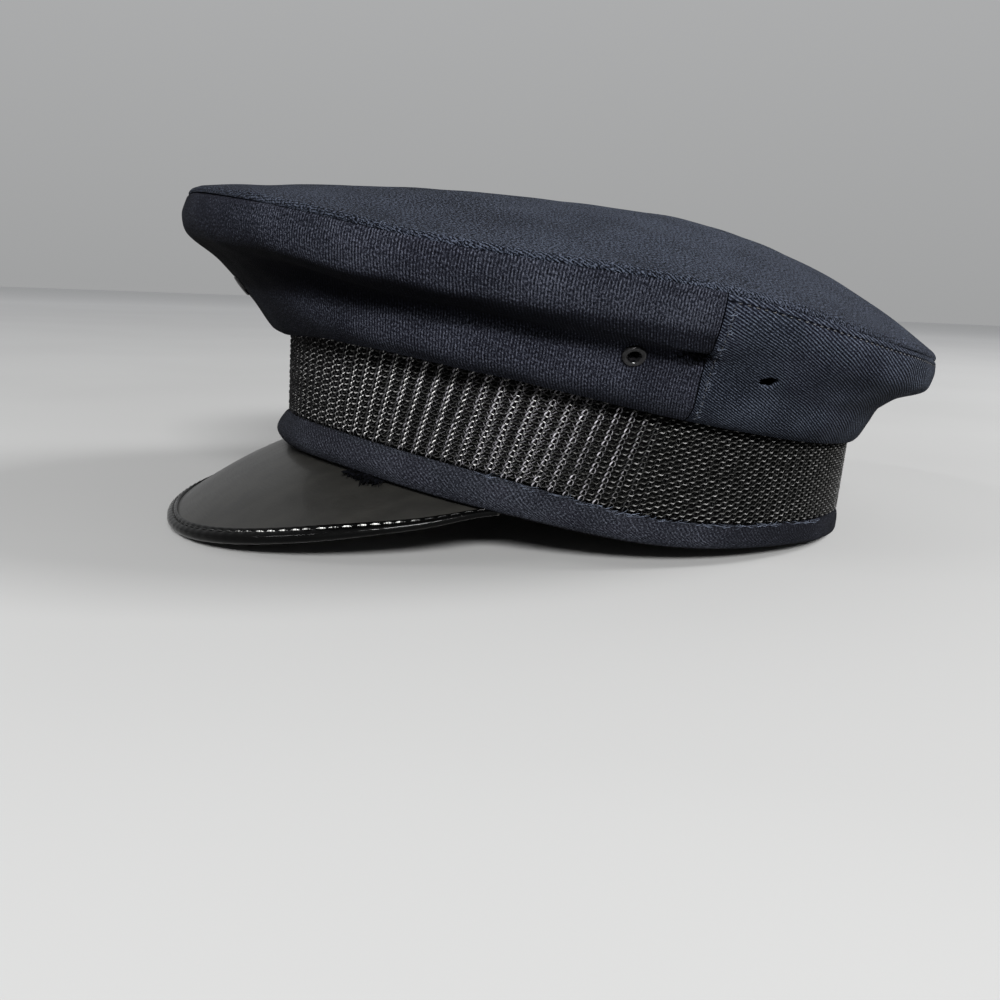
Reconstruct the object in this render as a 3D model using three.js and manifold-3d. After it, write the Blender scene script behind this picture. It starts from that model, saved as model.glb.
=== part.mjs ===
// A round police cap: a domed cloth crown on a stiff head band, with a braid, a bottom welt and a visor.
// Millimetres. X points to the wearer's left, Y to the back of the head, Z up.
import * as THREE from "three";
import { mergeVertices } from "three/addons/utils/BufferGeometryUtils.js";
import Module from "manifold-3d";

const wasm = await Module();
wasm.setup();

// Driving dimensions
const CLOTH = 1.6; // wall of the crown panels, cloth with its backing
const SEAM_GAP = 0.3; // space left between neighbouring pieces
const STEPS_ROUND = 52; // sections all the way round the cap

// Ovals in plan: half length front to back, half width, squareness, and how far the middle lies ahead of the
// band's middle.
const BAND = { length: 104, width: 87.5, power: 2.1, ahead: 0 };
const RIM = { length: 131.6, width: 124, power: 2.1, ahead: 10.1 };
const APEX = { ahead: -20, height: 104.4 }; // highest point of the domed top
const RIM_ROUND = 1.6; // radius of the turned edge between the top and the rim seam

// Layers of the band, each as a distance out from the band oval
const HEADBAND = { inner: -4.7, outer: -2.7, aboveBase: 0.6, aboveFold: 6 };
const BRAID = { inner: -2.4, outer: -1, aboveFold: 2 };
const WELT_INNER = -2.4;

// Outer face of the welt from its top edge to its foot: height as a part of the welt's height, share of its
// bulge, and distance out.
const WELT_FACE = [
  [1, 0, -0.6],
  [0.85, 0.35, 0],
  [0.4, 1, 0],
  [0.08, 0.5, 0],
  [0, 0, -0.8],
];

// Lower edge of the crown, which hangs over the braid and turns in to it
const HEM = { inner: -0.7, round: 0.6, lift: 0.4, lip: 1.2, tall: 2.5, wall: 1, thinFrom: 0.8 };

// One row for each section round the cap. Angle 0 is the front and 180 the back, and both sides are alike.
// base: lower edge of the band above the level of its back edge. lean: how far the band's top stands out past
// its foot. welt and bulge: height of the welt and how far it stands out. fold and hem: height of the crown's
// lower fold and how far it stands out. rim: height of the rim seam. roll, valley and skirt: how far the
// panel swells out from the straight line between rim and fold, at the fractions rollAt, valleyAt and half
// way from valleyAt to the fold. dome: how full the top is towards this section.
const COLUMNS = "angle base lean welt bulge fold hem rim roll rollAt valley valleyAt skirt dome".split(" ");
const SECTIONS = [
  [0, 12.6, 1.6, 10.9, 3.8, 49.8, 2.4, 91.5, 7.3, 0.18, 3.4, 0.42, 2.2, 2.5],
  [30, 12.2, 1.2, 10.6, 3.2, 51.0, 2.8, 87.4, 6.4, 0.19, 1.8, 0.43, 3.2, 2.4],
  [60, 6.8, 0.4, 10.6, 2.2, 46.7, 3.5, 79.2, 5.0, 0.2, 0.3, 0.43, 2.6, 2.2],
  [90, 0.3, 0, 8.2, 1.2, 39.2, 3.3, 75.1, 3.2, 0.22, 0.6, 0.45, 1.2, 2.1],
  [120, 0, 0, 7.6, 0.7, 34.2, 2.4, 66.9, 3.6, 0.24, -0.6, 0.52, 0, 1.95],
  [150, 0, 0, 8.0, 0.4, 33.2, 1.6, 63.3, 5.1, 0.25, -4.0, 0.6, -2.4, 2.0],
  [180, 0, 0, 8.0, 0.4, 33.0, 1.6, 63.0, 5.2, 0.25, -4.2, 0.6, -2.4, 1.95],
];
const SECTION_STEP = 30; // degrees between rows

// Shape of the side wall between the table's swells: the roll's upper turn as parts of rollAt and roll, and
// the turn just above the fold.
const ROLL_TURN = { at: 0.4, share: 0.72 };
const HEM_TURN = { at: 0.93, share: 0.5, out: 0.8 };

const SIDE_SEAM = 90; // angle of the seams between the front and the rear crown panel
const SEAM_HALF_ANGLE = 0.1; // degrees cut from each panel at a side seam

const VISOR = {
  thick: 1.5,
  tipAhead: 142.4, // edge of the sheet at the middle of the cap
  tipHeight: -14.5,
  fall: 1.3, // above 1 the edge falls mostly near its tip
  cornerAngle: 62, // where the edge meets the band on each side
  cornerOut: -0.4, // past the band oval
  cornerBelow: 1.3, // under the band's lower edge
  power: 2.3, // squareness of the edge in plan
  crown: 0.075, // swell across the sheet, as a part of its width
  rootOut: -1.2,
  rootBelow: 0.5,
  flange: -5, // root flange that stands inside the head band, from the band oval
  flangeTall: 7,
  flangeFoot: 0.4,
  lastSide: 89.4, // end of the sheet, just short of the corner at 90
  thinFrom: 55, // side angle from which the edge gets thinner
  endScale: 0.55, // how thin it gets at its ends
  steps: 26,
};

// Folded strip round the visor's edge: wall, depth from its nose, and how far its nose stands past the sheet.
const BINDING = { wall: 0.65, deep: 4.6, past: 1.5 };

// Upper half of the strip's section: how far out, as a part of its back or nose, and how far up, as a part of
// its height. The inner face is cut short at the sheet's edge.
const STRIP_FACE = [
  [-1, 1],
  [-0.2, 1],
  [0.6, 0.85],
  [1, 0.35],
];

const BADGE_EYELET = { angle: 0, down: 0.61, outer: 4, bore: 1.7, hole: 2.7 };
const VENT_EYELET = { angle: 80, down: 0.56, outer: 3.5, bore: 1.5, hole: 2.5 };
const VENT_HOLE = { angle: 100, down: 0.52, hole: 2.3 };
const EYELET = { sides: 16, edge: 0.35, thick: 0.7, bevel: 0.5, seat: 0.35, backInset: 0.4 };
const DRILL_LENGTH = 8;

const CLOTH_FINISH = { color: 0x1a1d29, roughness: 0.9, metalness: 0 };
const BRAID_FINISH = { color: 0x131316, roughness: 0.5, metalness: 0 };
const PATENT_FINISH = { color: 0x08080a, roughness: 0.12, metalness: 0 };
const EYELET_FINISH = { color: 0x101012, roughness: 0.3, metalness: 0.8 };

const SMALLEST_AREA = 1e-6;
const MERGE_DISTANCE = 1e-4;
const NORMAL_STEP = 0.01; // half the stretch over which a surface's normal is taken

const { clamp, degToRad: rad, euclideanModulo, lerp, smoothstep } = THREE.MathUtils;
const vec = (x, y, z) => new THREE.Vector3(x, y, z);

// A smooth step between two values with given slopes, at u from 0 to 1.
function hermite(from, to, slopeFrom, slopeTo, u) {
  const rising = u * u * (3 - 2 * u);
  return from * (1 - rising) + to * rising + slopeFrom * u * (1 - u) ** 2 - slopeTo * u * u * (1 - u);
}

// A column of SECTIONS at any angle, on a smooth curve through the rows that is mirrored at front and back.
function section(name, angle) {
  const column = COLUMNS.indexOf(name);
  const folded = Math.abs(euclideanModulo(angle + 180, 360) - 180) / SECTION_STEP;
  const last = SECTIONS.length - 1;
  const row = Math.min(Math.floor(folded), last - 1);
  const mirrored = (i) => (i > last ? 2 * last - i : Math.abs(i));
  const value = (i) => SECTIONS[mirrored(i)][column];
  const slope = (i) => (value(i + 1) - value(i - 1)) / 2;
  return hermite(value(row), value(row + 1), slope(row), slope(row + 1), folded - row);
}

// A value on a smooth curve through knots [place, value].
function throughKnots(knots, place) {
  let i = 0;
  while (i < knots.length - 2 && place > knots[i + 1][0]) i += 1;
  const slope = (k) => {
    const a = knots[Math.max(k - 1, 0)];
    const b = knots[Math.min(k + 1, knots.length - 1)];
    return (b[1] - a[1]) / (b[0] - a[0]);
  };
  const [x0, y0] = knots[i];
  const [x1, y1] = knots[i + 1];
  const width = x1 - x0;
  return hermite(y0, y1, slope(i) * width, slope(i + 1) * width, (place - x0) / width);
}

// A point of an oval at an angle from the front, a distance out from the oval, at a height.
function onOval(oval, angle, out, height) {
  const c = Math.cos(rad(angle));
  const s = Math.sin(rad(angle));
  const reach = (Math.abs(c) ** oval.power + Math.abs(s) ** oval.power) ** (-1 / oval.power);
  return vec((oval.width + out) * s * reach, -(oval.length + out) * c * reach - oval.ahead, height);
}

// A point a distance out from the band, whose wall leans out a little towards its top.
function onBand(angle, out, height) {
  const base = section("base", angle);
  const rise = (height - base) / (section("fold", angle) - base);
  return onOval(BAND, angle, out + section("lean", angle) * rise, height);
}

// Outer face of the crown's side wall: down runs from 0 at the rim seam to 1 at the lower fold.
function wallPoint(angle, down) {
  const top = onOval(RIM, angle, 0, section("rim", angle));
  const foot = onBand(angle, section("hem", angle), section("fold", angle));
  const line = foot.clone().sub(top);
  const outward = vec(-line.x, -line.y, 0);
  const across = outward.length();
  const normal = outward.normalize().multiplyScalar(-line.z).add(vec(0, 0, -across)).normalize();
  const roll = section("roll", angle);
  const rollAt = section("rollAt", angle);
  const valleyAt = section("valleyAt", angle);
  const skirt = section("skirt", angle);
  const swells = [
    [0, 0],
    [rollAt * ROLL_TURN.at, roll * ROLL_TURN.share],
    [rollAt, roll],
    [valleyAt, section("valley", angle)],
    [(valleyAt + 1) / 2, skirt],
    [HEM_TURN.at, skirt * HEM_TURN.share + HEM_TURN.out],
    [1, 0],
  ];
  return top.addScaledVector(line, down).addScaledVector(normal, throughKnots(swells, down));
}

// Outer face of the domed top: reach runs from 0 at the apex to 1 at the rim seam.
function domePoint(angle, reach) {
  const rim = onOval(RIM, angle, 0, section("rim", angle));
  const apex = vec(0, -APEX.ahead, APEX.height);
  const run = Math.hypot(rim.x - apex.x, rim.y - apex.y);
  const point = apex.clone().lerp(rim, reach);
  const fromEdge = Math.min((1 - reach) * run, RIM_ROUND);
  const turned = Math.sqrt(RIM_ROUND ** 2 - (RIM_ROUND - fromEdge) ** 2);
  const full = 1 - reach ** section("dome", angle);
  point.z = rim.z + turned + (APEX.height - rim.z - RIM_ROUND) * full;
  return point;
}

// Outward normal of a surface given as point(angle, place), taken a little way in from both of its edges.
function surfaceNormal(point, angle, place) {
  const middle = clamp(place, 2 * NORMAL_STEP, 1 - NORMAL_STEP);
  const along = point(angle, middle + NORMAL_STEP).sub(point(angle, middle - NORMAL_STEP));
  const round = point(angle + 1, middle).sub(point(angle - 1, middle));
  return along.cross(round).normalize();
}

// A closed solid between two grids of points: grid[section][place]. A ring closes on its first section.
function shell(outer, inner, ring) {
  const corners = [];
  const triangle = (a, b, c) => {
    const area = b.clone().sub(a).cross(c.clone().sub(a)).length();
    if (area > SMALLEST_AREA) corners.push(a, b, c);
  };
  const quad = (a, b, c, d) => {
    triangle(a, b, c);
    triangle(a, c, d);
  };
  const places = outer[0].length - 1;
  const sections = ring ? outer.length : outer.length - 1;
  for (let i = 0; i < sections; i += 1) {
    const k = (i + 1) % outer.length;
    for (let j = 0; j < places; j += 1) {
      quad(outer[i][j], outer[i][j + 1], outer[k][j + 1], outer[k][j]);
      quad(inner[i][j], inner[k][j], inner[k][j + 1], inner[i][j + 1]);
    }
    quad(outer[i][0], outer[k][0], inner[k][0], inner[i][0]);
    quad(outer[i][places], inner[i][places], inner[k][places], outer[k][places]);
  }
  if (!ring) {
    const end = outer.length - 1;
    for (let j = 0; j < places; j += 1) {
      quad(outer[0][j], inner[0][j], inner[0][j + 1], outer[0][j + 1]);
      quad(outer[end][j], outer[end][j + 1], inner[end][j + 1], inner[end][j]);
    }
  }
  return mergeVertices(new THREE.BufferGeometry().setFromPoints(corners), MERGE_DISTANCE);
}

function toSolid(geometry) {
  const bare = new THREE.BufferGeometry().setAttribute("position", geometry.getAttribute("position"));
  if (geometry.index) bare.setIndex(geometry.index);
  const merged = mergeVertices(bare, MERGE_DISTANCE);
  const vertProperties = new Float32Array(merged.getAttribute("position").array);
  const triVerts = new Uint32Array(merged.index.array);
  return new wasm.Manifold(new wasm.Mesh({ numProp: 3, vertProperties, triVerts }));
}

function fromSolid(solid) {
  const mesh = solid.getMesh();
  const geometry = new THREE.BufferGeometry();
  geometry.setAttribute("position", new THREE.BufferAttribute(new Float32Array(mesh.vertProperties), 3));
  geometry.setIndex(new THREE.BufferAttribute(new Uint32Array(mesh.triVerts), 1));
  return geometry;
}

function namedMesh(name, geometry, finish) {
  geometry.computeVertexNormals();
  const mesh = new THREE.Mesh(geometry, new THREE.MeshStandardMaterial({ ...finish, flatShading: true }));
  mesh.name = name;
  return mesh;
}

const anglesRound = Array.from({ length: STEPS_ROUND }, (_, i) => (i * 360) / STEPS_ROUND);

// Crown
function crownTop() {
  const reaches = [0, 0.24, 0.44, 0.62, 0.77, 0.89, 0.965, 0.99, 1];
  const last = reaches.length - 1;
  const outer = [];
  const inner = [];
  for (const angle of anglesRound) {
    const face = reaches.map((reach) => domePoint(angle, reach));
    const facing = (reach) => (reach === 0 ? vec(0, 0, 1) : surfaceNormal(domePoint, angle, reach));
    const back = reaches.map((reach, j) => face[j].clone().addScaledVector(facing(reach), -CLOTH));
    face[last].z += SEAM_GAP / 2;
    back[last].z = face[last].z;
    outer.push(face);
    inner.push(back);
  }
  return shell(outer, inner, true);
}

function crownPanel(firstAngle, lastAngle) {
  const downs = [0, 0.06, 0.12, 0.2, 0.3, 0.42, 0.55, 0.7, 0.83, 0.92, 0.97];
  const steps = STEPS_ROUND / 2;
  const outer = [];
  const inner = [];
  for (let i = 0; i <= steps; i += 1) {
    const angle = lerp(firstAngle, lastAngle, i / steps);
    const face = downs.map((down) => wallPoint(angle, down));
    const back = downs.map((down, j) => {
      const wall = lerp(CLOTH, HEM.wall, smoothstep(down, HEM.thinFrom, 1));
      return face[j].clone().addScaledVector(surfaceNormal(wallPoint, angle, down), -wall);
    });
    face[0].z -= SEAM_GAP / 2;
    back[0].z = face[0].z;
    const fold = section("fold", angle);
    face.push(onBand(angle, section("hem", angle) - HEM.round, fold));
    face.push(onBand(angle, HEM.inner, fold + HEM.lift));
    back.push(onBand(angle, HEM.inner + HEM.lip, fold + HEM.tall));
    back.push(onBand(angle, HEM.inner, fold + HEM.tall));
    outer.push(face);
    inner.push(back);
  }
  return shell(outer, inner, false);
}

// Band: a ring whose outer and inner faces are lists of functions that give [distance out, height].
function bandRing(faceRows, backRows) {
  const rows = (list) => anglesRound.map((angle) => list.map((row) => onBand(angle, ...row(angle))));
  return shell(rows(faceRows), rows(backRows), true);
}

function straightBand(sizes, top, foot) {
  const wall = (out) => [(angle) => [out, top(angle)], (angle) => [out, foot(angle)]];
  return bandRing(wall(sizes.outer), wall(sizes.inner));
}

const bandTop = (sizes) => (angle) => section("fold", angle) + sizes.aboveFold;
const weltTop = (angle) => section("base", angle) + section("welt", angle);

function headband() {
  return straightBand(HEADBAND, bandTop(HEADBAND), (angle) => section("base", angle) + HEADBAND.aboveBase);
}

function braidBand() {
  return straightBand(BRAID, bandTop(BRAID), weltTop);
}

function bandWelt() {
  const at = (angle, part) => section("base", angle) + (section("welt", angle) - SEAM_GAP) * part;
  const face = WELT_FACE.map(([part, share, out]) => (angle) => [
    section("bulge", angle) * share + out,
    at(angle, part),
  ]);
  const back = WELT_FACE.map(([part]) => (angle) => [WELT_INNER, at(angle, part)]);
  return bandRing(face, back);
}

// Visor: side runs from -90 to 90 degrees along the edge, across from 0 at the root to 1 at the edge.
const visorSides = Array.from({ length: VISOR.steps + 1 }, (_, i) =>
  lerp(-VISOR.lastSide, VISOR.lastSide, i / VISOR.steps),
);

function visorEdge(side) {
  const corner = onOval(BAND, VISOR.cornerAngle, VISOR.cornerOut, 0);
  corner.z = section("base", VISOR.cornerAngle) - VISOR.cornerBelow;
  const s = Math.sin(rad(side));
  const share = Math.cos(rad(side)) ** (2 / VISOR.power);
  const x = corner.x * Math.sign(s) * Math.abs(s) ** (2 / VISOR.power);
  return vec(x, lerp(corner.y, -VISOR.tipAhead, share), lerp(corner.z, VISOR.tipHeight, share ** VISOR.fall));
}

const VISOR_NORMAL = { fromEdge: 0.1, lastSide: 82 };

const rootAngle = (side) => (side * VISOR.cornerAngle) / 90;

// The visor's edge is full at the front and thinner towards both corners.
function edgeScale(side) {
  return lerp(1, VISOR.endScale, smoothstep(Math.abs(side), VISOR.thinFrom, VISOR.lastSide));
}

function visorPoint(side, across) {
  const angle = rootAngle(side);
  const root = onBand(angle, VISOR.rootOut, section("base", angle) - VISOR.rootBelow);
  const line = visorEdge(side).sub(root);
  const swell = VISOR.crown * line.length() * Math.cos(rad(side)) * 4 * across * (1 - across);
  return root.addScaledVector(line, across).add(vec(0, 0, swell));
}

// The upward normal of the visor's sheet, taken a little way in from its ends, its root and its edge.
function visorNormal(side, across) {
  const place = clamp(across, VISOR_NORMAL.fromEdge, 1 - VISOR_NORMAL.fromEdge);
  const turn = clamp(side, -VISOR_NORMAL.lastSide, VISOR_NORMAL.lastSide);
  return surfaceNormal(visorPoint, turn, place);
}

function visor() {
  const acrosses = [0.02, 0.2, 0.4, 0.6, 0.8, 1];
  const outer = [];
  const inner = [];
  for (const side of visorSides) {
    const angle = rootAngle(side);
    const base = section("base", angle);
    const face = acrosses.map((across) => visorPoint(side, across));
    const thick = VISOR.thick * edgeScale(side);
    const facing = (across) => visorNormal(side, across);
    const back = acrosses.map((across, j) => face[j].clone().addScaledVector(facing(across), -thick));
    const flangeTop = base + VISOR.flangeTall;
    const flangeInner = VISOR.flange - VISOR.thick;
    face.unshift(onBand(angle, VISOR.flange, base + VISOR.flangeFoot));
    face.unshift(onBand(angle, VISOR.flange, flangeTop));
    back.unshift(onBand(angle, flangeInner, base - VISOR.thick));
    back.unshift(onBand(angle, flangeInner, flangeTop));
    outer.push(face);
    inner.push(back);
  }
  return shell(outer, inner, false);
}

// A folded strip round the visor's edge, thinner at its two ends.
function visorBinding() {
  const lowerHalf = [...STRIP_FACE].reverse().map(([out, up]) => [out, -up]);
  const strip = [...STRIP_FACE, ...lowerHalf];
  const outer = [];
  const inner = [];
  for (const side of visorSides) {
    const scale = edgeScale(side);
    const halfSheet = (VISOR.thick * scale) / 2;
    const up = visorNormal(side, 1);
    const edge = visorEdge(side).addScaledVector(up, -halfSheet);
    const ahead = visorEdge(Math.min(side + 0.5, 90));
    const out = ahead.sub(visorEdge(Math.max(side - 0.5, -90))).cross(up).normalize();
    const slot = halfSheet + SEAM_GAP;
    const skin = slot + BINDING.wall * scale;
    const nose = BINDING.past * scale;
    const back = BINDING.deep * scale - nose;
    const at = (reach, rise) => edge.clone().addScaledVector(out, reach).addScaledVector(up, rise);
    const reachOf = (part) => part * (part < 0 ? back : nose);
    outer.push(strip.map(([part, rise]) => at(reachOf(part), rise * skin)));
    inner.push(strip.map(([part, rise]) => at(Math.min(reachOf(part), SEAM_GAP), rise * slot)));
  }
  return shell(outer, inner, false);
}

// A place in the middle of the crown's side wall with Y along its outward normal.
function onWall(spot, side) {
  const angle = spot.angle * side;
  const place = new THREE.Object3D();
  const normal = surfaceNormal(wallPoint, angle, spot.down);
  place.position.copy(wallPoint(angle, spot.down)).addScaledVector(normal, -CLOTH / 2);
  place.quaternion.setFromUnitVectors(vec(0, 1, 0), normal);
  place.updateMatrix();
  return place;
}

function drilled(panel, spots) {
  let solid = toSolid(panel);
  for (const [spot, side] of spots) {
    const drill = new THREE.CylinderGeometry(spot.hole, spot.hole, DRILL_LENGTH, EYELET.sides);
    solid = solid.subtract(toSolid(drill.applyMatrix4(onWall(spot, side).matrix)));
  }
  return fromSolid(solid);
}

// A two-flanged eyelet, pressed through the cloth from outside, with a flat ring on its outer face.
function eyelet(spot) {
  const seat = CLOTH / 2 + EYELET.seat;
  const barrel = spot.hole - SEAM_GAP;
  const backRadius = spot.outer - EYELET.backInset;
  const profile = [
    [spot.bore, -seat - EYELET.thick],
    [backRadius, -seat - EYELET.thick],
    [backRadius, -seat],
    [barrel, -seat],
    [barrel, seat],
    [spot.outer, seat],
    [spot.outer, seat + EYELET.edge],
    [spot.outer - EYELET.bevel, seat + EYELET.thick],
    [spot.bore + EYELET.bevel, seat + EYELET.thick],
    [spot.bore, seat + EYELET.edge],
    [spot.bore, -seat - EYELET.thick],
  ];
  const points = profile.map(([radius, height]) => new THREE.Vector2(radius, height));
  return fromSolid(toSolid(new THREE.LatheGeometry(points, EYELET.sides)));
}

function placedEyelet(name, spot, side) {
  const mesh = namedMesh(name, eyelet(spot), EYELET_FINISH);
  const place = onWall(spot, side);
  mesh.position.copy(place.position);
  mesh.quaternion.copy(place.quaternion);
  return mesh;
}

const seamAt = SIDE_SEAM - SEAM_HALF_ANGLE;
const frontPanel = drilled(crownPanel(-seamAt, seamAt), [
  [BADGE_EYELET, 1],
  [VENT_EYELET, 1],
  [VENT_EYELET, -1],
]);
const rearPanel = drilled(crownPanel(SIDE_SEAM + SEAM_HALF_ANGLE, 360 - SIDE_SEAM - SEAM_HALF_ANGLE), [
  [VENT_HOLE, 1],
  [VENT_HOLE, -1],
]);

const cap = new THREE.Group();
cap.add(
  namedMesh("crown_top", crownTop(), CLOTH_FINISH),
  namedMesh("crown_front_panel", frontPanel, CLOTH_FINISH),
  namedMesh("crown_rear_panel", rearPanel, CLOTH_FINISH),
  namedMesh("headband", headband(), CLOTH_FINISH),
  namedMesh("braid_band", braidBand(), BRAID_FINISH),
  namedMesh("band_welt", bandWelt(), CLOTH_FINISH),
  namedMesh("visor", visor(), PATENT_FINISH),
  namedMesh("visor_binding", visorBinding(), PATENT_FINISH),
  placedEyelet("badge_eyelet", BADGE_EYELET, 1),
  placedEyelet("left_vent_eyelet", VENT_EYELET, 1),
  placedEyelet("right_vent_eyelet", VENT_EYELET, -1),
);

// The cap rests on the tip of its visor and on the back of its band, so it leans back a little.
const tipDrop = -VISOR.tipHeight + VISOR.thick + BINDING.wall + SEAM_GAP;
cap.rotation.x = -Math.atan2(tipDrop, VISOR.tipAhead + BAND.length);
const part = new THREE.Group();
part.add(cap);
part.updateMatrixWorld(true);
const bounds = new THREE.Box3().setFromObject(part, true);
const middle = bounds.getCenter(vec(0, 0, 0));
cap.position.set(-middle.x, -middle.y, -bounds.min.z);

export default part;
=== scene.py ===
# A round police cap: woven cloth crown and welt, a chain braid, a patent visor and metal eyelets.
# Shapes are worked out in the cap's own millimetres (X to the wearer's left, Y back, Z up). Then they are
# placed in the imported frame, where the cap rests on its visor's tip and the back of its band.
import math

import bmesh
import bpy
import numpy as np
from mathutils import Matrix


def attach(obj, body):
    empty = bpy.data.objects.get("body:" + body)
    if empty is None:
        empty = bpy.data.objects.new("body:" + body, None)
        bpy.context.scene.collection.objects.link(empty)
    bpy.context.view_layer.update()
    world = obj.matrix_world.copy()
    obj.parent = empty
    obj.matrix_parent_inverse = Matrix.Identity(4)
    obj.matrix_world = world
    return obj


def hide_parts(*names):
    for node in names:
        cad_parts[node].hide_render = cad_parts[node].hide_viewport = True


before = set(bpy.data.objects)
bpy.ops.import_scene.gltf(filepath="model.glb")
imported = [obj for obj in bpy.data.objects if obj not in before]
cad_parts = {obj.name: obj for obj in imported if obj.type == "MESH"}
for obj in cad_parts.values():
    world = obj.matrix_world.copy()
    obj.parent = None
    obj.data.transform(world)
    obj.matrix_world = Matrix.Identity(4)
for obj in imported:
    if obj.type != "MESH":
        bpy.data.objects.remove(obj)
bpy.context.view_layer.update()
rng = np.random.default_rng(7)

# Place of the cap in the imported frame: turned nose down, then moved back and up
TILT = -0.0686824
SHIFT_Y, SHIFT_Z = 8.6362, 7.08245
MM = 0.001

# Main shape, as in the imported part
BAND = {"length": 104, "width": 87.5, "power": 2.1, "ahead": 0}
RIM = {"length": 131.6, "width": 124, "power": 2.1, "ahead": 10.1}
APEX = np.array([0, 20, 104.4])
RIM_ROUND = 1.6
COLUMNS = "angle base lean welt bulge fold hem rim roll rollAt valley valleyAt skirt dome".split()
SECTIONS = np.array([
    [0, 12.6, 1.6, 10.9, 3.8, 49.8, 2.4, 91.5, 7.3, 0.18, 3.4, 0.42, 2.2, 2.5],
    [30, 12.2, 1.2, 10.6, 3.2, 51.0, 2.8, 87.4, 6.4, 0.19, 1.8, 0.43, 3.2, 2.4],
    [60, 6.8, 0.4, 10.6, 2.2, 46.7, 3.5, 79.2, 5.0, 0.2, 0.3, 0.43, 2.6, 2.2],
    [90, 0.3, 0, 8.2, 1.2, 39.2, 3.3, 75.1, 3.2, 0.22, 0.6, 0.45, 1.2, 2.1],
    [120, 0, 0, 7.6, 0.7, 34.2, 2.4, 66.9, 3.6, 0.24, -0.6, 0.52, 0, 1.95],
    [150, 0, 0, 8.0, 0.4, 33.2, 1.6, 63.3, 5.1, 0.25, -4.0, 0.6, -2.4, 2.0],
    [180, 0, 0, 8.0, 0.4, 33.0, 1.6, 63.0, 5.2, 0.25, -4.2, 0.6, -2.4, 1.95],
])
SECTION_STEP = 30
CLOTH = 1.6
HEM_WALL, HEM_INNER = 1.0, -0.7
SEAM_GAP = 0.3
LEVEL = np.array([1, 1, 0])


# Curves of one value
def hermite(start, end, slope_start, slope_end, u):
    rising = u * u * (3 - 2 * u)
    return start * (1 - rising) + end * rising + slope_start * u * (1 - u) ** 2 - slope_end * u * u * (1 - u)


def smoothstep(x, low, high):
    t = np.clip((x - low) / (high - low), 0, 1)
    return t * t * (3 - 2 * t)


def plateau(x, rise_from, rise_to, fall_from, fall_to):
    """Rises from 0 to 1 between the first two places and falls back between the last two."""
    return smoothstep(x, rise_from, rise_to) * (1 - smoothstep(x, fall_from, fall_to))


def bell(x, middle, width):
    """1 at the middle, falling to about 0 two widths away."""
    return np.exp(-((x - middle) / width) ** 2)


def through_knots(knots, place):
    xs = [np.broadcast_to(x, place.shape) for x, _ in knots]
    ys = [np.broadcast_to(y, place.shape) for _, y in knots]
    last = len(knots) - 1

    def slope(k):
        a, b = max(k - 1, 0), min(k + 1, last)
        return (ys[b] - ys[a]) / (xs[b] - xs[a])

    result = np.zeros(place.shape)
    for i in range(last):
        width = xs[i + 1] - xs[i]
        part = hermite(ys[i], ys[i + 1], slope(i) * width, slope(i + 1) * width, (place - xs[i]) / width)
        result = np.where(place > xs[i], part, result) if i else part
    return result


# Surfaces of the cap, for arrays of angles (0 is the front, 90 the wearer's left, 180 the back)
def arrays(*values):
    return np.broadcast_arrays(*(np.asarray(value, float) for value in values))


def from_front(angle):
    """The angle between 0 and 180 that it is away from the front, on either side."""
    return np.abs((np.asarray(angle, float) + 180) % 360 - 180)


def section(field, angle):
    column = SECTIONS[:, COLUMNS.index(field)]
    place = from_front(angle) / SECTION_STEP
    row = np.minimum(np.floor(place), len(column) - 2).astype(int)
    mirrored = np.concatenate([[column[1]], column, [column[-2]]])

    def value(i):
        return mirrored[i + 1]

    def slope(i):
        return (value(i + 1) - value(i - 1)) / 2

    return hermite(value(row), value(row + 1), slope(row), slope(row + 1), place - row)


def on_oval(oval, angle, out, height):
    angle, out, height = arrays(angle, out, height)
    c, s = np.cos(np.radians(angle)), np.sin(np.radians(angle))
    reach = (np.abs(c) ** oval["power"] + np.abs(s) ** oval["power"]) ** (-1 / oval["power"])
    x = (oval["width"] + out) * s * reach
    y = -(oval["length"] + out) * c * reach - oval["ahead"]
    return np.stack([x, y, height], axis=-1)


def on_band(angle, out, height):
    base = section("base", angle)
    rise = (height - base) / (section("fold", angle) - base)
    return on_oval(BAND, angle, out + section("lean", angle) * rise, height)


def unit(vectors):
    return vectors / np.maximum(np.linalg.norm(vectors, axis=-1, keepdims=True), 1e-12)


def wall_point(angle, down, sag=0.0):
    """A place on the wall; a sag moves its swelling down without moving its ends."""
    angle, down = arrays(angle, down)
    top = on_oval(RIM, angle, 0, section("rim", angle))
    line = on_band(angle, section("hem", angle), section("fold", angle)) - top
    outward = line * -LEVEL
    normal = unit(outward) * -line[..., 2:]
    normal[..., 2] = -np.linalg.norm(outward, axis=-1)
    roll, roll_at = section("roll", angle), section("rollAt", angle)
    valley_at, skirt = section("valleyAt", angle), section("skirt", angle)
    swell = through_knots([
        (0, 0), (roll_at * 0.4, roll * 0.72), (roll_at, roll), (valley_at, section("valley", angle)),
        ((valley_at + 1) / 2, skirt), (0.93, skirt * 0.5 + 0.8), (1, 0),
    ], down - sag * np.sin(np.pi * down))
    return top + line * down[..., None] + unit(normal) * swell[..., None]


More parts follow.
